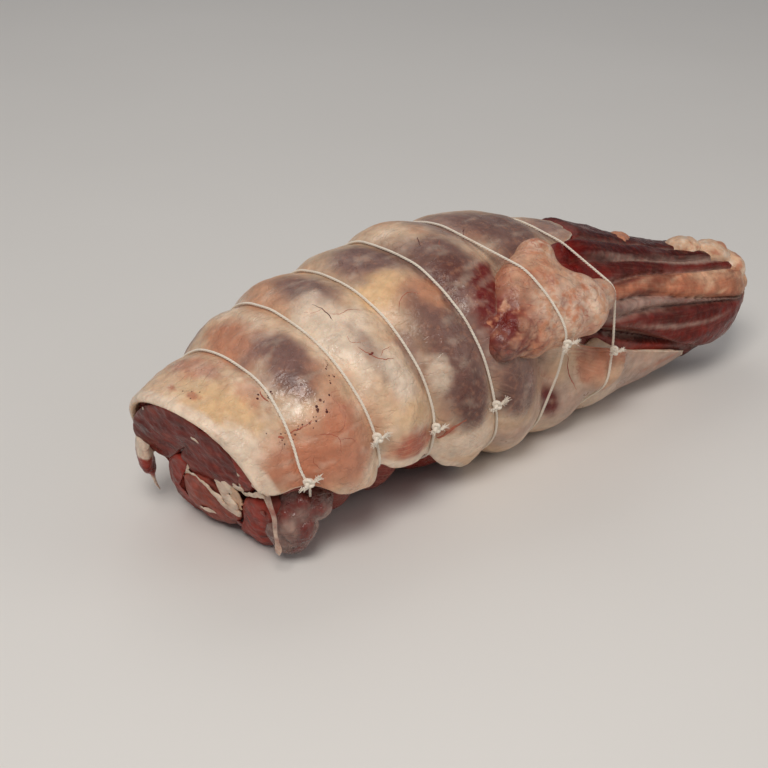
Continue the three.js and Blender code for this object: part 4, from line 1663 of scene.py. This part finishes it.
# ---- twine
@dataclass
class Twine:
    """One ring of three-ply twine with its knot and two frayed tails."""

    number: int  # which ring, from 1
    ring: Ring  # the sheet it lies in
    yarn: float = 0.33  # radius of one ply
    wrap: float = 0.32  # distance of a ply's middle from the twine's
    pitch: float = 5.0  # length of one turn of the plies
    lift: float = 0.45  # how far the twine's middle lies off the meat
    tail: float = 3.4  # length of each tail
    fibres: int = 32  # loose ones at the end of each tail
    knot_size: float = 0.7  # of the trefoil, side to side and along
    knot_depth: float = 0.8  # and out of the meat
    knot_cord: float = 0.88  # radius of the cord that it's tied of

    def route(self, cloud: Array) -> Array:
        """The twine's middle line: pulled tight round the meat's points that lie in its sheet.

        For each direction round the leg the farthest point is kept, which gives the convex outline. It is
        walked evenly, softened by a moving mean and moved outwards by the lift.

        Args:
            cloud: points of the meat's pieces.

        Returns:
            A closed line of points.
        """
        near = cloud[np.abs(cloud[:, 0] - self.ring.station(cloud[:, 2])) < 1.3][:, 1:]
        turns = np.linspace(0, TURN, 900, endpoint=False)
        ways = np.stack([np.cos(turns), np.sin(turns)])
        hull = near[np.argmax(near @ ways, axis=0)]
        step = np.linalg.norm(np.roll(hull, -1, axis=0) - hull, axis=1)
        hull, step = hull[step > 1e-6], step[step > 1e-6]
        loop = np.concatenate([hull, hull[:1]])
        walked = np.concatenate([[0.0], np.cumsum(np.linalg.norm(np.diff(loop, axis=0), axis=1))])
        count = int(round(walked[-1] / self.pitch)) * 10
        even = np.linspace(0, walked[-1], count, endpoint=False)
        line = np.stack([np.interp(even, walked, loop[:, k]) for k in (0, 1)], axis=1)
        for _ in range(2):
            line = np.mean([np.roll(line, shift, axis=0) for shift in range(-6, 7)], axis=0)
        along = unit(steps(line, True))
        line = line + np.stack([along[:, 1], -along[:, 0]], axis=1) * self.lift
        line[:, 1] = np.maximum(line[:, 1], 0.9)
        return np.concatenate([self.ring.station(line[:, 1])[:, None], line], axis=1)

    def plies(self, route: Array, closed: bool, turns: float, sides: int = 6) -> list[Shape]:
        """Three plies twisted round a line: each is a tube along a helix about it."""
        ahead = unit(steps(route, closed))
        up = unit(np.cross(ahead, np.array([1.0, 0.15, 0.1])))
        side = np.cross(ahead, up)
        made = []
        for ply in range(3):
            phase = np.arange(len(route)) / len(route) * turns * TURN + ply * TURN / 3
            helix = route + self.wrap * (np.cos(phase)[:, None] * side + np.sin(phase)[:, None] * up)
            made.append(tube(helix, self.yarn, sides, closed=closed, face=np.array([0.9, 0.3, 0.1])))
        return made

    def knot(self, seat: Array, out: Array, down: Array) -> list[Shape]:
        """The knot: a trefoil pulled tight, and two tails whose ends fray into fibres.

        Args:
            seat: where it sits.
            out: direction out of the meat.
            down: direction along the twine.

        Returns:
            Its shapes.
        """
        aside = np.cross(out, down)
        t = np.linspace(0, TURN, 90, endpoint=False)
        flat = np.stack([np.sin(t) + 2 * np.sin(2 * t), np.cos(t) - 2 * np.cos(2 * t), -np.sin(3 * t)])
        wide, high, deep = flat[..., None]
        trefoil = seat + self.knot_size * (wide * aside + high * down) + self.knot_depth * deep * out
        shapes = [tube(trefoil, self.knot_cord, 10, closed=True, face=out)]
        chance = np.random.default_rng(100 + self.number)
        for sign in (-1, 1):
            way = unit(sign * aside + 0.35 * out + chance.uniform(-0.35, 0.15) * -down)
            bend = unit(-down * 0.4 + 0.1 * out)
            share = np.linspace(0, 1, 14)[:, None]
            length = self.tail * chance.uniform(0.75, 1.1)
            line = seat + way * (1.2 + length * share) + bend * (1.6 * share**2)
            line = line + out * 0.5
            shapes += self.plies(line, False, length / self.pitch)
            for _ in range(self.fibres):
                stray = unit(way + bend * 0.4 + chance.normal(0, 0.42, 3))
                start = line[chance.integers(5, 14)] + chance.normal(0, 0.3, 3)
                reach = chance.uniform(1.0, 2.4)
                curl = chance.normal(0, 0.5, 3)
                bit = np.linspace(0, 1, 6)[:, None]
                hair = start + stray * reach * bit + curl * bit**2
                shapes.append(tube(hair, np.linspace(0.23, 0.08, 6), 5, face=np.array([0.2, 0.4, 0.9])))
        return shapes

    def build(self, cloud: Array) -> Piece:
        """Builds the ring, its knot and its tails."""
        route = self.route(cloud)
        shapes = self.plies(route, True, round(len(route) / 10))
        middle = route.mean(axis=0)
        angle = np.arctan2(route[:, 2] - middle[2], middle[1] - route[:, 1])
        place = int(np.argmin(np.abs(angle - self.ring.knot)))
        down = unit(route[(place + 3) % len(route)] - route[place - 3])
        down = down if down[2] < 0 else -down
        out = route[place] - middle
        out = unit(out - np.dot(out, down) * down)
        shapes += self.knot(route[place] + out * 1.1, out, down)
        shape = joined(shapes)
        on_table(shape.points)
        name = f"twine_{self.number}"
        return make_piece(f"tied_{name}", shape, COTTON, name)


# ---- the studio
@dataclass(frozen=True)
class Softbox:
    """A square lamp."""

    at: Spot  # its place, in metres
    aim: Spot  # where it points
    side: float  # its side
    watts: float  # its power
    colour: Spot = (1.0, 0.97, 0.93)  # its light's colour

    def build(self, name: str) -> None:
        """Hangs the lamp."""
        lamp = bpy.data.lights.new(name, "AREA")
        lamp.shape, lamp.size, lamp.energy, lamp.color = "SQUARE", self.side, self.watts, self.colour
        made = put_in_scene(name, lamp)
        made.location = self.at
        made.rotation_euler = (Vector(self.aim) - Vector(self.at)).to_track_quat("-Z", "Y").to_euler()


@dataclass
class Studio:
    """The floor, the light and the camera."""

    azimuth: float = -42.0  # degrees of the camera round the leg, 0 looking along +Y
    elevation: float = 27.0  # degrees above the horizon
    distance: float = 700.0  # millimetres from the camera to its target
    lens: float = 72.0  # focal length in millimetres, for a sensor 36 mm wide
    target: Spot = (116.0, -16.0, 52.0)  # what the camera looks at, in the leg's own measure
    sky: tuple[float, ...] = (0.9, 0.93, 1.0, 1)  # colour of the light from all round
    sky_strength: float = 0.22

    def build(self) -> None:
        """Builds the floor, the world, the lamps and the camera."""
        self.floor()
        world = bpy.data.worlds.new("studio")
        bpy.context.scene.world = world
        world.use_nodes = True
        background = world.node_tree.nodes["Background"]
        background.inputs[0].default_value = self.sky
        background.inputs[1].default_value = self.sky_strength
        Softbox((-0.75, -0.55, 1.25), (-0.02, 0, 0.05), 0.6, 13.8).build("key_light")
        Softbox((0.9, -1.1, 0.7), (0.05, 0, 0.05), 1.0, 3.6).build("fill_light")
        Softbox((0.3, 0.9, 1.2), (0, 0, 0.05), 1.0, 3).build("back_light")
        self.camera()
        bpy.context.scene.view_settings.view_transform = "Standard"

    @staticmethod
    def floor() -> None:
        """A pale floor of one large sheet, just under the leg."""
        mesh = bpy.data.meshes.new("floor")
        reach, level = 6.0, -0.0002
        corners = [(x * reach, y * reach, level) for x, y in ((-1, -1), (1, -1), (1, 1), (-1, 1))]
        mesh.from_pydata(corners, [], [(0, 1, 2, 3)])
        mesh.materials.append(PaleFloor("pale_floor", "").material())
        put_in_scene("floor", mesh)

    def camera(self) -> None:
        """Stands the camera at its angle and distance from the target."""
        turn, lift = math.radians(self.azimuth), math.radians(self.elevation)
        back = np.array([math.sin(turn) * math.cos(lift), -math.cos(turn) * math.cos(lift), math.sin(lift)])
        where = PLACE.metres(np.array(self.target) + back * self.distance)
        data = bpy.data.cameras.new("camera")
        data.lens, data.sensor_width = self.lens, 36.0
        data.clip_start, data.clip_end = 0.01, 50.0
        made = put_in_scene("camera", data)
        made.location = where
        made.rotation_euler = Vector(-back).to_track_quat("-Z", "Y").to_euler()
        bpy.context.scene.camera = made


# ---- paint on the layer
@dataclass(frozen=True)
class LayerPaint:
    """The colours and marks of the outer layer."""

    patches: tuple[Patch, ...]  # tissues laid over the fat, in order; two pale ones also hold painted highlights, and one of blood a painted shadow
    veined: tuple[Patch, ...] = ()  # patches whose cover is marked veined
    streaked: tuple[Patch, ...] = ()  # patches whose cover is marked streaked
    glossy: tuple[Patch, ...] = ()  # patches whose cover is wetter than the rest
    far_side: float = -1.9  # angle below which a place counts as round the back

    def coat(self, along: Array, angle: Array, points: Array, full: Array) -> dict[str, Array]:
        """The layer's tint and marks.

        Args:
            along: stations.
            angle: angles.
            points: places.
            full: fullness, which is below 1 at the borders.

        Returns:
            The marks by name.
        """
        turned = np.where(angle > math.pi, angle - TURN, angle)
        behind = np.where(turned < self.far_side, turned + TURN, turned)
        noise = BLOTCH.layers(points, 16, 4)
        broad = BROAD.layers(points + 200, 40, 2)
        streaky = BLOTCH.layers(points * [0.3, 1, 1], 5, 3)
        from_lip = (angle - lip_angle(along)) * RADIUS + 1.2 * noise
        edge = smooth(6.5, 4.5, from_lip) * smooth(66, 78, along) * (1 - smooth(140, 160, along))
        rim = smooth(4.4, 2.4, along - CUT_STATION + 1.2 * noise) * (1 - smooth(2.2, 2.6, behind))
        tint = dyed(
            Tissue.CREAM_FAT, points,
            (Tissue.PALE_FAT, 0.6 * smooth(0.0, 0.6, noise)),
            (Tissue.YELLOW_FAT, 0.2 * smooth(0.0, 0.7, broad)),
            (Tissue.PEACH, 0.45 * smooth(0.1, 0.7, -noise)),
            *((patch.tissue, patch.cover(along, behind, points)) for patch in self.patches),
            (Tissue.PALE_FAT, 0.22 * smooth(0.1, 0.6, streaky)),
            (Tissue.PALE_FAT, 0.97 * edge),
            (Tissue.PALE_FAT, 0.85 * rim),
            (Tissue.PALE_FAT, 0.9 * smooth(0.995, 0.75, full)),
        )
        marks = {"tint": tint, "wet": 0.45 + 0.5 * noise}
        for patch in self.glossy:
            marks["wet"] = marks["wet"] + patch.cover(along, behind, points)
        for name, patches in (("veins", self.veined), ("streaks", self.streaked)):
            total = np.zeros(along.shape)
            for patch in patches:
                total = np.maximum(total, patch.cover(along, behind, points))
            marks[name] = total * (full > 0.99)
        return marks


SHANK_PATCHES = (
    Patch(Tissue.BLOOD, 222, 0.9, 20, 12, 0.95),
    Patch(Tissue.DARK_MEAT, 262, 0.95, 26, 12, 0.8),
    Patch(Tissue.DARK_MEAT, 290, 0.2, 28, 8, 0.6),
    Patch(Tissue.MAUVE, 245, 1.45, 14, 6, 0.5),
    Patch(Tissue.MEMBRANE, 285, 0.06, 30, 1.3, 0.6, turn=-6, soft=0.8),
    Patch(Tissue.MEMBRANE, 262, 0.36, 20, 5, 0.5),
    Patch(Tissue.MEMBRANE, 290, 0.98, 34, 1.8, 0.8, turn=4, soft=0.8),
    Patch(Tissue.MEMBRANE, 336, -0.7, 12, 12, 0.6),
    Patch(Tissue.GRISTLE, 350, 0.5, 8, 22, 0.7),
    Patch(Tissue.GRISTLE, 338, 1.25, 13, 7, 0.7),
    Patch(Tissue.MEMBRANE, 320, 1.0, 16, 3, 0.6),
    Patch(Tissue.GRISTLE, 352, -0.4, 5, 16, 0.5),
    Patch(Tissue.SILVERSKIN, 290, 2.6, 26, 14, 0.6),
    Patch(Tissue.PALE_FAT, 325, 3.0, 18, 12, 0.7),
)

# From the cut end to the thigh, and in each stretch from the top of the leg down to its front edge.
LAYER_PATCHES = (
    Patch(Tissue.YELLOW_FAT, 33, 1.2, 8, 24, 0.9),
    Patch(Tissue.PALE_FAT, 29, 0.72, 5, 14, 0.9),
    Patch(Tissue.STRIATED, 42, 1.75, 5, 16, 0.6, torn=0.6),
    Patch(Tissue.ORANGE_MEAT, 44, 1.15, 4, 10, 0.5, torn=0.8),
    Patch(Tissue.ORANGE_MEAT, 32, 1.46, 1.3, 3.5, 0.8, torn=0.8),
    Patch(Tissue.ORANGE_MEAT, 31, 1.7, 1.2, 2.4, 0.9, torn=0.8),
    Patch(Tissue.ORANGE_MEAT, 40, 0.3, 16, 17, 0.92),
    Patch(Tissue.ORANGE_MEAT, 58, 1.68, 9, 17, 0.8),
    Patch(Tissue.SILVERSKIN, 62, 1.15, 10, 18, 0.9, turn=10),
    Patch(Tissue.MAUVE, 65, 1.24, 7, 12, 0.9, torn=0.2),
    Patch(Tissue.MAUVE, 60, 0.98, 6, 10, 0.85, torn=0.2),
    # pale fat, brightened here as a painted highlight where the wet fat glints
    Patch(Tissue.PALE_FAT, 51, 0.8, 4, 5, 0.8),
    Patch(Tissue.PEACH, 70, 0.85, 6, 9, 0.5),
    Patch(Tissue.ORANGE_MEAT, 60, 0.26, 17, 19, 0.9),
    Patch(Tissue.ORANGE_MEAT, 66, 0.5, 9, 10, 0.7),
    Patch(Tissue.PEACH, 73, 0.28, 5, 8, 0.5),
    Patch(Tissue.PEACH, 88, 1.85, 13, 18, 0.7),
    Patch(Tissue.MAUVE, 97, 1.6, 11, 15, 0.92, torn=0.2),
    Patch(Tissue.PALE_FAT, 89, 1.08, 12, 22, 0.9),
    Patch(Tissue.SILVERSKIN, 94, 0.78, 4, 14, 0.6),
    Patch(Tissue.PALE_FAT, 100, 0.5, 8, 13, 0.9),
    Patch(Tissue.YELLOW_FAT, 99, 0.18, 9, 7, 0.6),
    Patch(Tissue.STRIATED, 97, -0.1, 14, 8, 0.97, soft=0.4),
    Patch(Tissue.MAUVE, 129, 1.56, 17, 15, 0.97, torn=0.2),
    Patch(Tissue.YELLOW_FAT, 119, 1.2, 12, 8, 0.85),
    Patch(Tissue.PEACH, 130, 1.02, 10, 8, 0.8),
    Patch(Tissue.MAUVE, 131, 0.42, 16, 33, 0.97, soft=0.4, torn=0.15),
    Patch(Tissue.SILVERSKIN, 112, 0.62, 4, 14, 0.7),
    # pale fat, brightened here as a painted highlight where the wet silverskin glints
    Patch(Tissue.PALE_FAT, 120, 0.36, 4.5, 7, 0.8),
    Patch(Tissue.DEEP_MAUVE, 132, 0.02, 8, 13, 0.95, torn=0.25),
    Patch(Tissue.PALE_FAT, 122, -0.38, 22, 7, 0.95),
    Patch(Tissue.STRIATED, 114, -0.16, 8, 3, 0.7),
    Patch(Tissue.MAUVE, 153, 1.1, 17, 22, 0.97, soft=0.4, torn=0.15),
    Patch(Tissue.DEEP_MAUVE, 150, 0.97, 10, 12, 0.97, torn=0.2),
    Patch(Tissue.PEACH, 136, 0.98, 6, 9, 0.9),
    Patch(Tissue.SILVERSKIN, 150, 0.5, 10, 20, 0.92, torn=0.2),
    Patch(Tissue.MAUVE, 162, -0.02, 16, 17, 0.95, soft=0.4, torn=0.2),
    Patch(Tissue.DEEP_MAUVE, 160, -0.1, 10, 9, 0.8, torn=0.2),
    Patch(Tissue.SILVERSKIN, 180, 1.6, 16, 18, 0.85, torn=0.2),
    Patch(Tissue.PEACH, 190, 1.32, 9, 5, 0.7),
    Patch(Tissue.MAUVE, 204, 1.3, 20, 24, 0.95, torn=0.2),
    Patch(Tissue.MAUVE, 194, 0.92, 13, 12, 0.8),
    Patch(Tissue.SILVERSKIN, 234, 1.4, 10, 14, 0.92),
    Patch(Tissue.BLOOD, 212, 0.75, 7, 10, 0.9),
    # blood left of the knuckle, darkened further as the knuckle's painted shadow on the layer
    Patch(Tissue.BLOOD, 162, 0.8, 18, 7, 0.98, turn=45, soft=0.4, torn=0.3),
    Patch(Tissue.BLOOD, 154, 0.5, 4, 8, 0.75, torn=0.6),
    Patch(Tissue.MEMBRANE, 160, -0.62, 16, 9, 0.75),
    Patch(Tissue.SILVERSKIN, 180, 0.0, 12, 12, 0.7),
    Patch(Tissue.MEMBRANE, 190, -0.45, 18, 12, 0.75),
    Patch(Tissue.MEMBRANE, 212, -0.6, 18, 18, 0.75),
    Patch(Tissue.PALE_FAT, 236, -0.6, 16, 12, 0.6),
    Patch(Tissue.PALE_FAT, 180, -0.75, 20, 10, 0.6),
    Patch(Tissue.ORANGE_MEAT, 213, -0.1, 3, 9, 0.8),
    Patch(Tissue.MAROON, 190, -0.4, 5.2, 8.5, 1.0, turn=30, torn=0.25),
    Patch(Tissue.MEMBRANE, 252, -0.45, 24, 22, 0.8),
    Patch(Tissue.MEMBRANE, 282, -0.7, 24, 24, 0.95),
    Patch(Tissue.PALE_FAT, 234, -0.6, 14, 10, 0.6),
    Patch(Tissue.ORANGE_MEAT, 231, -0.12, 16, 17, 0.95, soft=0.3),
    Patch(Tissue.GRISTLE, 231, -0.3, 10, 8, 0.9),
    Patch(Tissue.ORANGE_MEAT, 284, -0.5, 14, 2.5, 0.6, torn=0.8),
    Patch(Tissue.MAUVE, 62, 2.5, 12, 15, 0.7),
    Patch(Tissue.ORANGE_MEAT, 48, 3.1, 16, 14, 0.6),
    Patch(Tissue.PALE_FAT, 92, 2.7, 14, 18, 0.8),
    Patch(Tissue.SILVERSKIN, 118, 3.1, 12, 20, 0.8),
    Patch(Tissue.YELLOW_FAT, 128, 2.4, 12, 12, 0.7),
    Patch(Tissue.MAUVE, 152, 2.7, 14, 18, 0.8),
    Patch(Tissue.PEACH, 176, 2.3, 12, 14, 0.7),
    Patch(Tissue.SILVERSKIN, 196, 2.9, 16, 20, 0.8),
    Patch(Tissue.PALE_FAT, 222, 2.3, 12, 12, 0.6),
    Patch(Tissue.ORANGE_MEAT, 92, 3.8, 26, 10, 0.6),
    Patch(Tissue.PEACH, 165, 3.9, 30, 12, 0.6),
)

OUTER_PAINT = LayerPaint(
    LAYER_PATCHES,
    veined=(
        Patch(Tissue.BLOOD, 60, 0.4, 22, 26, 0.7),
        Patch(Tissue.BLOOD, 200, -0.2, 34, 24, 0.6),
        Patch(Tissue.BLOOD, 150, 2.6, 70, 40, 0.7),
    ),
    streaked=(
        Patch(Tissue.GRISTLE, 95, -0.06, 12, 9),
        Patch(Tissue.GRISTLE, 120, -0.34, 24, 9),
        Patch(Tissue.GRISTLE, 152, 0.0, 18, 20, 0.25),
    ),
    glossy=(
        Patch(Tissue.PALE_FAT, 57, 0.8, 8, 10),
        Patch(Tissue.PALE_FAT, 89, 1.1, 8, 12),
        Patch(Tissue.PALE_FAT, 120, 0.4, 9, 14),
        Patch(Tissue.PALE_FAT, 100, 0.5, 8, 10),
        Patch(Tissue.PALE_FAT, 88, 2.6, 12, 16),
    ),
)


# ---- blood on the layer
@dataclass(frozen=True)
class Trail:
    """A trail of dried specks of blood on the outer layer."""

    route: tuple[tuple[float, float], ...]  # stations and angles along it
    count: int  # how many specks
    scatter: float  # how far they stray, in millimetres
    size: float = 0.75  # radius of the largest


@dataclass(frozen=True)
class Thread:
    """A vein, or a smear drawn out to a line, in the outer layer."""

    route: tuple[tuple[float, float], ...]  # stations and angles along it
    width: float  # its half width
    tissue: Tissue = Tissue.STRIATED  # its colour
    flat: float = 0.35  # its thickness of its width


TRAILS = (
    Trail(((60, 0.62), (66, 0.7), (74, 0.82), (78, 0.98)), 15, 3.4, 0.55),
    Trail(((58, 0.64), (61, 0.68)), 9, 3.4, 0.7),
    Trail(((46, 1.1), (50, 1.02)), 9, 3.0, 0.6),
    Trail(((43, 0.68), (54, 0.6)), 11, 2.8, 0.5),
    Trail(((35, 1.62), (32, 1.46)), 6, 2.4, 0.45),
    Trail(((36, 0.8), (44, 0.55)), 8, 5.0, 0.4),
    Trail(((70, 2.5), (84, 2.7)), 12, 2.5),
)
THREADS = (
    Thread(((90, 1.42), (91, 1.33), (91, 1.26), (90, 1.18)), 0.28, Tissue.DRIED),
    Thread(((91, 1.28), (95, 1.2), (101, 1.19), (106, 1.13)), 0.16),
    Thread(((91, 1.33), (87, 1.36), (85, 1.41)), 0.14),
    Thread(((90, 0.9), (91, 0.84), (92, 0.79), (95, 0.71), (101, 0.66)), 0.24),
    Thread(((91, 0.8), (94, 0.78)), 0.6, Tissue.BLOOD),
    Thread(((93, 0.9), (89, 0.96), (90, 1.02)), 0.14),
    Thread(((95, 0.73), (99, 0.76), (104, 0.75)), 0.14),
    Thread(((156, 1.5), (153, 1.44), (151, 1.38)), 0.28, Tissue.DRIED),
    Thread(((163, 1.37), (160, 1.34), (158, 1.28)), 0.2),
    Thread(((186, 1.44), (183, 1.4), (181, 1.35)), 0.28, Tissue.DRIED),
    Thread(((113, -0.24), (118, -0.2), (123, -0.12), (128, -0.08)), 1.0, flat=0.2),
    Thread(((115, -0.22), (121, -0.15), (127, -0.09)), 0.35, Tissue.BLOOD),
    Thread(((118, 0.95), (121, 1.03), (126, 1.06), (131, 1.0)), 0.16),
    Thread(((43, 0.6), (46, 0.64), (50, 0.62), (55, 0.63)), 0.35),
    Thread(((41, 0.66), (43, 0.62)), 0.6),
    Thread(((48, 1.12), (47, 1.06), (48, 0.98)), 0.5),
    Thread(((52, 0.5), (57, 0.45), (60, 0.36), (58, 0.24)), 0.2),
    Thread(((57, 0.45), (63, 0.42), (68, 0.5)), 0.16),
    Thread(((60, 0.36), (65, 0.3), (68, 0.2)), 0.14),
    Thread(((49, 0.36), (47, 0.28), (48, 0.18)), 0.18),
    Thread(((205, 0.0), (203, -0.12), (205, -0.26), (210, -0.36)), 0.4),
    Thread(((80, 1.13), (84, 1.09), (89, 1.05)), 1.1, Tissue.WHITE_SINEW, 0.25),
    Thread(((120, 2.2), (128, 2.4), (140, 2.5), (146, 2.7)), 0.4, Tissue.BLOOD),
    Thread(((180, 2.6), (190, 2.4), (204, 2.5)), 0.4, Tissue.BLOOD),
)


@dataclass
class LayerBlood:
    """The specks and threads that lie in the outer face of the layer."""

    layer: OuterLayer  # the layer they lie on
    sunk: float = 0.45  # how far a thread's middle lies under the face, of its thickness

    def on_face(self, route: Array) -> tuple[Array, Array]:
        """Points of the layer's outer face, and the directions out of it, at stations and angles.

        Args:
            route: stations and angles, two for each.

        Returns:
            The points and the unit normals.
        """
        step = 0.3
        ways = np.array([[0, 0], [step, 0], [0, step / RADIUS]])
        along, angle = np.moveaxis(route[None] + ways[:, None], -1, 0)
        skin = KNEE.raised(ROLL.skin(along, angle))
        out = unit(np.cross(skin[1] - skin[0], skin[2] - skin[0]))
        out = out * np.sign(np.sum(out * (skin[0] * [0, 1, 1] - [0, 0, 45]), axis=-1, keepdims=True))
        return skin[0] + out * self.layer.relief(angle[0], skin[0])[..., None], out

    def build(self) -> list[Piece]:
        """Builds the specks as flattened beads and the threads as flattened tubes."""
        chance = np.random.default_rng(7)
        beads = []
        for trail in TRAILS:
            walk = path_through(np.array(trail.route) * [1, RADIUS], 200)
            picked = walk[chance.integers(0, 200, trail.count)]
            picked = picked + chance.normal(0, trail.scatter / 2, (trail.count, 2))
            points, out = self.on_face(picked / [1, RADIUS])
            for point, way in zip(points, out):
                size = trail.size * chance.uniform(0.35, 1.0) ** 1.3
                bead = directions(7, 10) * size
                high = np.sum(bead * way, axis=-1, keepdims=True)
                beads.append(round_shape(point + bead - 0.65 * high * way))
        specks = joined(beads)
        specks.marked(tint=dyed(Tissue.DRIED, specks.points))
        threads = [self.thread(thread) for thread in THREADS]
        return [
            make_piece("blood_specks", specks, FAT_AND_SKIN),
            make_piece("veins_and_smears", joined(threads), FAT_AND_SKIN),
        ]

    def thread(self, thread: Thread) -> Shape:
        """One thread: a flattened tube, thin at its ends, that wavers by noise as it goes."""
        count = 44
        walk = path_through(np.array(thread.route) * [1, RADIUS], count)
        flat = np.concatenate([walk, np.zeros((count, 1))], axis=1)
        walk = walk + 0.7 * np.stack([UNEVEN.layers(flat, 4, 3), UNEVEN.layers(flat + 70, 4, 3)], axis=1)
        points, out = self.on_face(walk / [1, RADIUS])
        share = np.linspace(0, 1, count)
        width = thread.width * (0.25 + 0.75 * np.sin(math.pi * share) ** 0.6)
        width = width * (1 + 0.35 * UNEVEN.layers(points, 2, 2))
        made = tube(points - out * (self.sunk * thread.flat * thread.width), width, 8, thread.flat, face=out)
        return made.marked(tint=dyed(thread.tissue, made.points), wet=1.0)


# ---- the whole
def points_of(pieces: Sequence[Piece]) -> Array:
    """The pieces' points, in the leg's own measure."""
    clouds = []
    for piece in pieces:
        flat = np.zeros(len(piece.data.vertices) * 3, np.float32)
        piece.data.vertices.foreach_get("co", flat)
        clouds.append(flat.reshape(-1, 3))
    return (np.concatenate(clouds) - np.array(PLACE.zero)) * 1000


def main() -> None:
    """Builds the leg piece by piece, and then the studio."""
    logging.basicConfig(level=logging.INFO, format="%(name)s: %(message)s")
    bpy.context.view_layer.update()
    meat = [OuterLayer().build(), InnerMeat().build(), Knuckle().build(), build_nubs()]
    meat += CutEnd().build() + LayerBlood(OuterLayer()).build()
    cloud = points_of(meat[:3])
    for number, ring in enumerate(RINGS, 1):
        Twine(number, ring).build(cloud)
    Studio().build()


if __name__ == "__main__":
    main()
